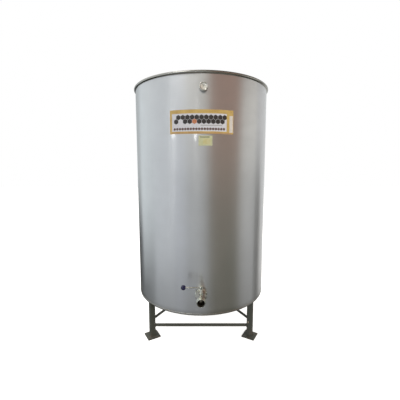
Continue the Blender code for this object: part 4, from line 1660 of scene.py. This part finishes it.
@dataclass
class Stand:
    """Three square-tube legs on foot plates, with pipes low down and flat bars under the tank."""

    side: float = 38 * MM
    sheet: float = 2.5 * MM
    corner: float = 4 * MM
    foot_side: float = 95 * MM
    foot_corner: float = 2.5 * MM
    foot_edge: float = 1.0 * MM
    rail_sheet: float = 2.3 * MM
    bar: float = 10 * MM
    bar_edge: float = 0.8 * MM
    rail_steps: int = 40
    weld_steps: int = 32
    halvings: int = 30  # how closely a weld's meeting with a leg is found
    weld: float = 3.2 * MM
    tack_at: tuple[str, str] = ("front", "right")  # the joint with an unpainted second weld over the rail
    tack: Point = (14 * MM, 26 * MM)
    tack_aside: float = 14 * MM
    ripple: float = 5 * MM
    fit: float = 0.3 * MM
    spans: tuple[tuple[str, str, str], ...] = (
        ("front", "left", "right"),
        ("left", "left", "back"),
        ("right", "right", "back"),
    )

    def leg_place(self, name: str) -> Matrix:
        """Finds where a leg stands, turned to face out from the tank's axis.

        Args:
            name: Which leg.

        Returns:
            Its place.
        """
        middle = sum(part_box(f"leg_{name}"), Vector()) / 2
        out = math.atan2(middle.y - AXIS.y, middle.x - AXIS.x)
        return Matrix.Translation((middle.x, middle.y, 0)) @ Matrix.Rotation(out, 4, "Z")

    def outline(self, grow: float = 0.0) -> list[Point]:
        """A leg's outline, this much larger all round."""
        return rounded_square(self.side / 2 + grow, self.corner + grow)

    def build(self) -> None:
        """Builds the legs with their plates, then what joins them."""
        for name in ("left", "right", "back"):
            self.build_leg(name)
        for name, *legs in self.spans:
            span = Span(name, tuple(legs), tuple(self.leg_place(leg) for leg in legs))
            self.build_rail_and_bar(span)
            self.lay_span_welds(span)

    def build_leg(self, name: str) -> None:
        """Builds one leg, its foot plate and the weld between them.

        Args:
            name: Which leg.
        """
        place = self.leg_place(name)
        low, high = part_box(f"leg_{name}")
        hollow = swept(self.outline(-self.sheet), low.z - self.side, high.z + self.side, place)
        mesh = combined(swept(self.outline(), low.z, high.z, place), Meet.CUT, hollow)
        add_piece(f"square_leg_{name}", mesh, STAND, [f"leg_{name}"])
        low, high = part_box(f"foot_plate_{name}")
        plate = swept(rounded_square(self.foot_side / 2, self.foot_corner), low.z, high.z, place)
        mesh = eased_edges(plate, self.foot_edge)
        add_piece(f"foot_plate_steel_{name}", mesh, STAND, [f"foot_plate_{name}"])
        lift = high.z + self.weld / 4
        foot = [place @ Vector((x, y, lift)) for x, y in self.outline(self.weld / 4)]
        lay_weld(f"foot_weld_{name}", foot, self.weld, self.ripple, STAND_WELD)

    def outside(self, place: Matrix, spot: Vector) -> float:
        """Measures how far a point lies outside a leg.

        Args:
            place: Where the leg stands.
            spot: The point.

        Returns:
            The distance, or less than zero inside it.
        """
        local = place.inverted() @ spot
        middle = self.side / 2 - self.corner
        over = Vector((abs(local.x) - middle, abs(local.y) - middle))
        outer = Vector((max(over.x, 0), max(over.y, 0)))
        return outer.length + min(max(over.x, over.y), 0) - self.corner

    def meeting(self, place: Matrix, start: Vector, along: Vector) -> Vector:
        """Finds where a weld lies on a leg: just past where a line from inside the leg comes out of it.

        Args:
            place: Where the leg stands.
            start: Where the line starts.
            along: The way it goes.

        Returns:
            The weld's middle.
        """
        near, far = 0.0, 2 * self.side
        for _ in range(self.halvings):
            middle = (near + far) / 2
            if self.outside(place, start + along * middle) < 0:
                near = middle
            else:
                far = middle
        return start + along * near + along * self.weld / 4

    def build_rail_and_bar(self, span: Span) -> None:
        """Builds the pipe and the bar between two legs, each cut to the legs' shape.

        Args:
            span: The two legs.
        """
        copings = [swept(self.outline(self.fit), -self.side, 10 * self.side, place) for place in span.places]
        low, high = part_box(f"low_rail_{span.name}")
        radius, length, across = (high.z - low.z) / 2, span.line.length, span.line.normalized()
        start = Matrix.Translation(span.start + Vector((0, 0, (low.z + high.z) / 2)))
        place = start @ across.to_track_quat("Z", "Y").to_matrix().to_4x4()
        rail = swept(circle(radius, self.rail_steps), 0, length, place)
        bore = swept(circle(radius - self.rail_sheet, self.rail_steps), -radius, length + radius, place)
        mesh = combined(rail, Meet.CUT, bore, *copings)
        add_piece(f"pipe_rail_{span.name}", mesh, STAND, [f"low_rail_{span.name}"])
        low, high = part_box(f"top_bar_{span.name}")
        turn = Matrix.Rotation(math.atan2(across.y, across.x), 4, "Z")
        middle = sum((end.translation for end in span.places), Vector()) / 2
        outline = rounded_square(length / 2, self.bar_edge, self.bar / 2)
        bar = swept(outline, low.z, high.z, Matrix.Translation(middle) @ turn)
        mesh = combined(bar, Meet.CUT, *copings)
        add_piece(f"flat_bar_{span.name}", mesh, STAND, [f"top_bar_{span.name}"])

    def lay_span_welds(self, span: Span) -> None:
        """Lays the welds that hold a pipe and a bar to their two legs.

        Args:
            span: The two legs.
        """
        rail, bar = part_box(f"low_rail_{span.name}"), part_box(f"top_bar_{span.name}")
        radius, height = (rail[1].z - rail[0].z) / 2, (rail[0].z + rail[1].z) / 2
        across = span.line.normalized()
        side = across.cross(Vector((0, 0, 1)))
        for leg, place, way in zip(span.legs, span.places, (across, -across)):

            def path(spots: Sequence[Point]) -> list[Vector]:
                """The weld's path on this leg, from points (aside, height)."""
                starts = [place.translation + side * x + Vector((0, 0, z)) for x, z in spots]
                return [self.meeting(place, begin, way) for begin in starts]

            ring = [(x, height + y) for x, y in circle(radius + self.weld / 4, self.weld_steps)]
            thin = self.weld * 0.8
            lay_weld(f"rail_weld_{span.name}_{leg}", path(ring), thin, self.ripple, STAND_WELD)
            if (span.name, leg) == self.tack_at:
                tack = path([(self.tack_aside, height + radius + up) for up in self.tack])
                lay_weld(f"tack_weld_{leg}", tack, 2 * thin, self.ripple, BARE_WELD, closed=False)
            for edge, word in ((-1, "inner"), (1, "outer")):
                aside = edge * (self.bar / 2 + self.weld / 4)
                line = path([(aside, bar[0].z + self.weld), (aside, bar[1].z - self.weld)])
                name = f"bar_weld_{span.name}_{leg}_{word}"
                lay_weld(name, line, thin, self.ripple, STAND_WELD, closed=False)


@dataclass(frozen=True)
class Panel:
    """A rectangle on the wall: how far round its middle lies, its width, and its lowest and highest edge."""

    aside: float
    width: float
    low: float
    high: float

    def mesh(self, out: float, thickness: float, gap: float = 6 * MM) -> Mesh:
        """Wraps the panel round the wall.

        Args:
            out: How far out from the wall its back is.
            thickness: How thick it is.
            gap: How far apart its columns are. Its rows are three times as far apart.

        Returns:
            The closed panel.
        """
        columns = max(2, round(self.width / gap))
        rows = max(1, round((self.high - self.low) / (3 * gap)))
        wide = columns + 1
        spots = [
            (self.aside + self.width * (i / columns - 0.5), self.low + (self.high - self.low) * j / rows)
            for j in range(rows + 1)
            for i in range(wide)
        ]
        bm = new_shape()
        inner, outer = (
            [bm.verts.new(on_wall(*spot, far)) for spot in spots] for far in (out, out + thickness)
        )
        edge = [(i, i + 1) for i in range(columns)]
        edge += [(j * wide + columns, (j + 1) * wide + columns) for j in range(rows)]
        edge += [(rows * wide + i + 1, rows * wide + i) for i in range(columns)]
        edge += [((j + 1) * wide, j * wide) for j in range(rows)]
        starts = [j * wide + i for j in range(rows) for i in range(columns)]
        quads = [(k, k + 1, k + wide + 1, k + wide) for k in starts]
        faces = [([outer[k] for k in quad], quad) for quad in quads]
        faces += [([inner[k] for k in quad[::-1]], quad[::-1]) for quad in quads]
        faces += [((inner[a], inner[b], outer[b], outer[a]), (a, b, b, a)) for a, b in edge]
        for corners, numbers in faces:
            add_face(bm, corners, [(spots[k][0] - self.aside, spots[k][1] - self.low) for k in numbers])
        return meshed(bm)


@dataclass(frozen=True)
class CellRows:
    """Printed rows of six-sided cells on the label, those that a random draw picks."""

    name: str
    finish: Finish
    rows: int
    columns: int
    cell: float
    gap: float
    height: float
    drawn: Point = (0.0, 1.01)  # the draws, from 0 to 1, that show a cell


@dataclass
class Labels:
    """The two film labels on the wall, with a plain printed comb in place of words."""

    film: Panel = Panel(4 * MM, 390 * MM, 1449 * MM, 1588 * MM)
    field: Panel = Panel(-11 * MM, 332 * MM, 1463 * MM, 1566 * MM)
    edge_strip: Panel = Panel(184 * MM, 22 * MM, 1459 * MM, 1556 * MM)
    stripe: Panel = Panel(4 * MM, 366 * MM, 1451 * MM, 1456 * MM)
    rule: Panel = Panel(62 * MM, 130 * MM, 1496 * MM, 1499 * MM)
    sticker: Panel = Panel(26 * MM, 82 * MM, 1380 * MM, 1438 * MM)
    sticker_patch: Panel = Panel(34 * MM, 44 * MM, 1388 * MM, 1422 * MM)
    sticker_rule: Panel = Panel(22 * MM, 56 * MM, 1428 * MM, 1432 * MM)
    start: float = 0.3 * MM  # where the film's back is, out from the wall
    film_sheet: float = 0.3 * MM
    ink: float = 0.07 * MM
    seed: int = 4
    cells: tuple[CellRows, ...] = (
        CellRows("comb_dark_cells", DARK_INK, 2, 11, 26.5 * MM, 1.3 * MM, 1.532, (0.0, 0.80)),
        CellRows("comb_orange_cells", ORANGE_INK, 2, 11, 26.5 * MM, 1.3 * MM, 1.532, (0.86, 1.01)),
        CellRows("dotted_rule", BROWN_INK, 1, 19, 14.0 * MM, 2.5 * MM, 1.477),
    )

    def build(self) -> None:
        """Builds both labels and their print, each ink a layer of its own."""
        surface = self.start + self.film_sheet
        second = surface + 1.5 * self.ink
        for name, panel, out, thickness, finish, nodes in (
            ("label_film", self.film, self.start, self.film_sheet, FILM, ["label_panel"]),
            ("label_white_field", self.field, surface, self.ink, WHITE_INK, []),
            ("label_cream_strip", self.edge_strip, surface, self.ink, CREAM_INK, []),
            ("label_orange_stripe", self.stripe, surface, self.ink, BAND_INK, []),
            ("label_grey_rule", self.rule, second, self.ink, GREY_INK, []),
            ("sticker_film", self.sticker, self.start, self.film_sheet, STICKER, ["small_label"]),
            ("sticker_patch", self.sticker_patch, surface, self.ink, STICKER_PATCH, []),
            ("sticker_rule", self.sticker_rule, surface, self.ink, DARK_INK, []),
        ):
            add_piece(name, panel.mesh(out, thickness), finish, nodes)
        shared = {"Thickness": self.ink, "Out": second, "Seed": self.seed, "Aside": self.field.aside}
        shared |= {"Wall radius": WALL_RADIUS, "Tank axis": tuple(AXIS)}
        for cells in self.cells:
            values = {"Columns": cells.columns, "Rows": cells.rows, "Cell width": cells.cell}
            values |= {"Gap": cells.gap, "Height": cells.height}
            values |= {"Lowest": cells.drawn[0], "Highest": cells.drawn[1]}
            add_piece(cells.name, COMB.mesh(cells.finish, {**values, **shared}), cells.finish)


@dataclass(frozen=True)
class RoomSide:
    """One stretch of the room round the tank, which the steel mirrors.

    Azimuths are in degrees: 0 is towards -Y, where the viewer stands, and +90 is towards +X.
    """

    name: str
    start: float
    end: float
    high: str  # its colour high up
    low: str  # its colour low down
    sill: float  # the elevation where the one gives way to the other
    beam: str = ""  # its colour above the beams, where that differs
    ceiling: str = "#74736f"


@dataclass(frozen=True)
class Lamp:
    """A bright tube lamp of the room, seen only as a glint in the steel. Its sizes are in degrees."""

    azimuth: float
    elevation: float
    strength: float
    half_width: float = 5.0
    half_height: float = 0.6


@dataclass(frozen=True)
class SoftLight:
    """A soft square light that faces the tank."""

    name: str
    place: Corner
    size: float
    power: float
    mirrored: bool = False  # whether it shows in the steel
    aim: Corner = (0.0, 0.0, 0.9)

    def build(self) -> None:
        """Adds the light, which the camera doesn't see."""
        data = bpy.data.lights.new(self.name, "AREA")
        data.size = self.size
        data.energy = self.power
        light = bpy.data.objects.new(self.name, data)
        light.location = self.place
        light.rotation_euler = (Vector(self.aim) - Vector(self.place)).to_track_quat("-Z", "Y").to_euler()
        light.visible_glossy = self.mirrored
        light.visible_camera = False
        bpy.context.scene.collection.objects.link(light)


ROOM = (
    RoomSide("corner behind on the left", -172, -136, "#bbc1c3", "#2e2f30", -8, ceiling="#ffffff"),
    RoomSide("far window", -124, -92, "#eaf2f6", "#424446", -18, "#ffffff", "#ffffff"),
    RoomSide("near window", -84, -44, "#e9eff5", "#3c4044", -27, "#e8ecea", "#dcdcda"),
    RoomSide("frame of the near window", -43, -31, "#eef1f2", "#d7dde6", 13, ceiling="#adadaa"),
    RoomSide("wall behind the viewer", -22, 5, "#fffbf0", "#bfc4c8", 12),
    RoomSide("brick pillar", 18, 62, "#b89e91", "#81857c", 0, "#b48d80"),
    RoomSide("plain wall on the right", 77, 106, "#fdfbf4", "#c2c4c4", 2, "#7c6a65"),
    RoomSide("shelves", 110, 122, "#e4e4e4", "#70706e", 1, "#7a7878"),
    RoomSide("open door", 134, 170, "#dadcdc", "#dadad8", -10),
)
LAMPS = (Lamp(-47, 6.6, 14.0), Lamp(-8.5, 6.6, 16.0, half_width=3.5))


@dataclass
class Studio:
    """The pale floor, the soft lights, the room that the steel mirrors, and the camera."""

    floor_side: float = 30.0
    floor_drop: float = 0.2 * MM
    sill_depth: float = 14.0  # over how many degrees a side turns from its low colour to its high one
    beams: Point = (18.5, 20.0)  # each of these starts to cover what is before it, and covers it
    ceiling: Point = (24.0, 50.0)
    ground: tuple[str, Point] = ("#2b2618", (-20.0, -38.0))
    near_floor: tuple[str, Point] = ("#a3a19b", (-44.0, -66.0))
    lamp_edge: Point = (1.0, 0.4)  # where a lamp's glow starts and is full, as a share of its half width
    camera_place: Corner = (0.0, -2.0316, 1.2497)
    camera_pitch: float = 6.82  # degrees below level
    camera_lens: float = 24.21
    camera_shift: float = -0.00265
    lights: tuple[SoftLight, ...] = (
        SoftLight("key light", (-1.8, -2.4, 4.8), 1.3, 34.0, mirrored=True),
        SoftLight("fill light", (2.6, -2.8, 1.5), 2.4, 52.0),
        SoftLight("top light", (0.0, 0.4, 5.0), 5.0, 60.0),
        SoftLight("back light", (0.5, 4.0, 3.0), 3.0, 25.0),
    )

    def build(self) -> None:
        """Sets up the camera, the floor, the lights and the world."""
        bpy.context.scene.view_settings.view_transform = "Standard"
        self.build_camera()
        self.build_floor()
        self.build_world()
        for light in self.lights:
            light.build()

    def build_camera(self) -> None:
        """Places the camera at the photograph's viewpoint."""
        data = bpy.data.cameras.new("camera")
        data.lens = self.camera_lens
        data.shift_x = self.camera_shift
        camera = bpy.data.objects.new("camera", data)
        camera.location = self.camera_place
        camera.rotation_euler = (math.radians(90 - self.camera_pitch), 0, 0)
        bpy.context.scene.collection.objects.link(camera)
        bpy.context.scene.camera = camera

    def build_floor(self) -> None:
        """Lays a white floor with only a faint shadow. The steel mirrors the room's darker ground instead."""
        mesh = bpy.data.meshes.new("floor")
        half = self.floor_side / 2
        mesh.from_pydata([(x * half, y * half, -self.floor_drop) for x, y in SQUARE], [], [(0, 1, 2, 3)])
        mesh.materials.append(PAPER.material())
        floor = loose(mesh, "floor")
        floor.visible_glossy = False
        floor.visible_diffuse = False

    def build_world(self) -> None:
        """Builds the room: white to the camera, but its sides, ceiling, ground and lamps to all else."""
        world = bpy.data.worlds.new("room")
        bpy.context.scene.world = world
        world.use_nodes = True
        tree = world.node_tree
        tree.nodes.clear()
        way = add_node(tree, "ShaderNodeTexCoord")["Generated"]
        x, y, z = add_node(tree, "ShaderNodeSeparateXYZ", {0: way})
        turn = ("ARCTAN2", x, ("MULTIPLY", y, -1.0))
        height = ("MULTIPLY", ("ARCSINE", z), 180 / math.pi)

        def around(values: Sequence[str | float]) -> Socket:
            """Spreads a value for each side of the room round it, blended in the corners between them.

            Args:
                values: The sides' colours or grey values.

            Returns:
                The value in the way that is looked at.
            """
            ends = [(end, value) for side, value in zip(ROOM, values) for end in (side.start, side.end)]
            stops = [(azimuth / 360 + 0.5, value) for azimuth, value in ends]
            share = ("ADD", ("DIVIDE", turn, math.tau), 0.5)
            return add_node(tree, "ShaderNodeValToRGB", {0: share}, stops)[0]

        coat = Coat(tree, around([side.low for side in ROOM]))
        sill = ("SUBTRACT", ("MULTIPLY", around([(side.sill + 90) / 180 for side in ROOM]), 180.0), 90.0)
        half = self.sill_depth / 2
        above_sill = ("SUBTRACT", height, sill)
        coat.tint(around([side.high for side in ROOM]), (above_sill, (-half, half), (0.0, 1.0)))
        for over, span in (
            (around([side.beam or side.high for side in ROOM]), self.beams),
            (around([side.ceiling for side in ROOM]), self.ceiling),
            self.ground,
            self.near_floor,
        ):
            coat.tint(over, (height, span, (0.0, 1.0)))
        for lamp in LAMPS:
            aside = ("DIVIDE", ("SUBTRACT", turn, math.radians(lamp.azimuth)), math.radians(lamp.half_width))
            above = ("DIVIDE", ("SUBTRACT", height, lamp.elevation), lamp.half_height)
            far = ("ADD", ("MULTIPLY", aside, aside), ("MULTIPLY", above, above))
            coat.tint((lamp.strength,) * 3 + (1.0,), (far, self.lamp_edge, (0.0, 1.0)))
        room = add_node(tree, "ShaderNodeBackground", {"Color": coat.colour})[0]
        white = add_node(tree, "ShaderNodeBackground", {"Color": linear("#ffffff")})[0]
        seen = add_node(tree, "ShaderNodeLightPath")["Is Camera Ray"]
        mixed = add_node(tree, "ShaderNodeMixShader", {0: seen, 1: room, 2: white})[0]
        add_node(tree, "ShaderNodeOutputWorld", {"Surface": mixed})


def main() -> None:
    """Builds the studio and every piece of the tank, in order."""
    logging.basicConfig(level=logging.INFO, format="%(message)s")
    for part in (Studio(), TankShell(), Filler(), OutletValve(), ValveLever(), Stand(), Labels()):
        LOG.info("building: %s", type(part).__name__)
        part.build()


if __name__ == "__main__":
    main()
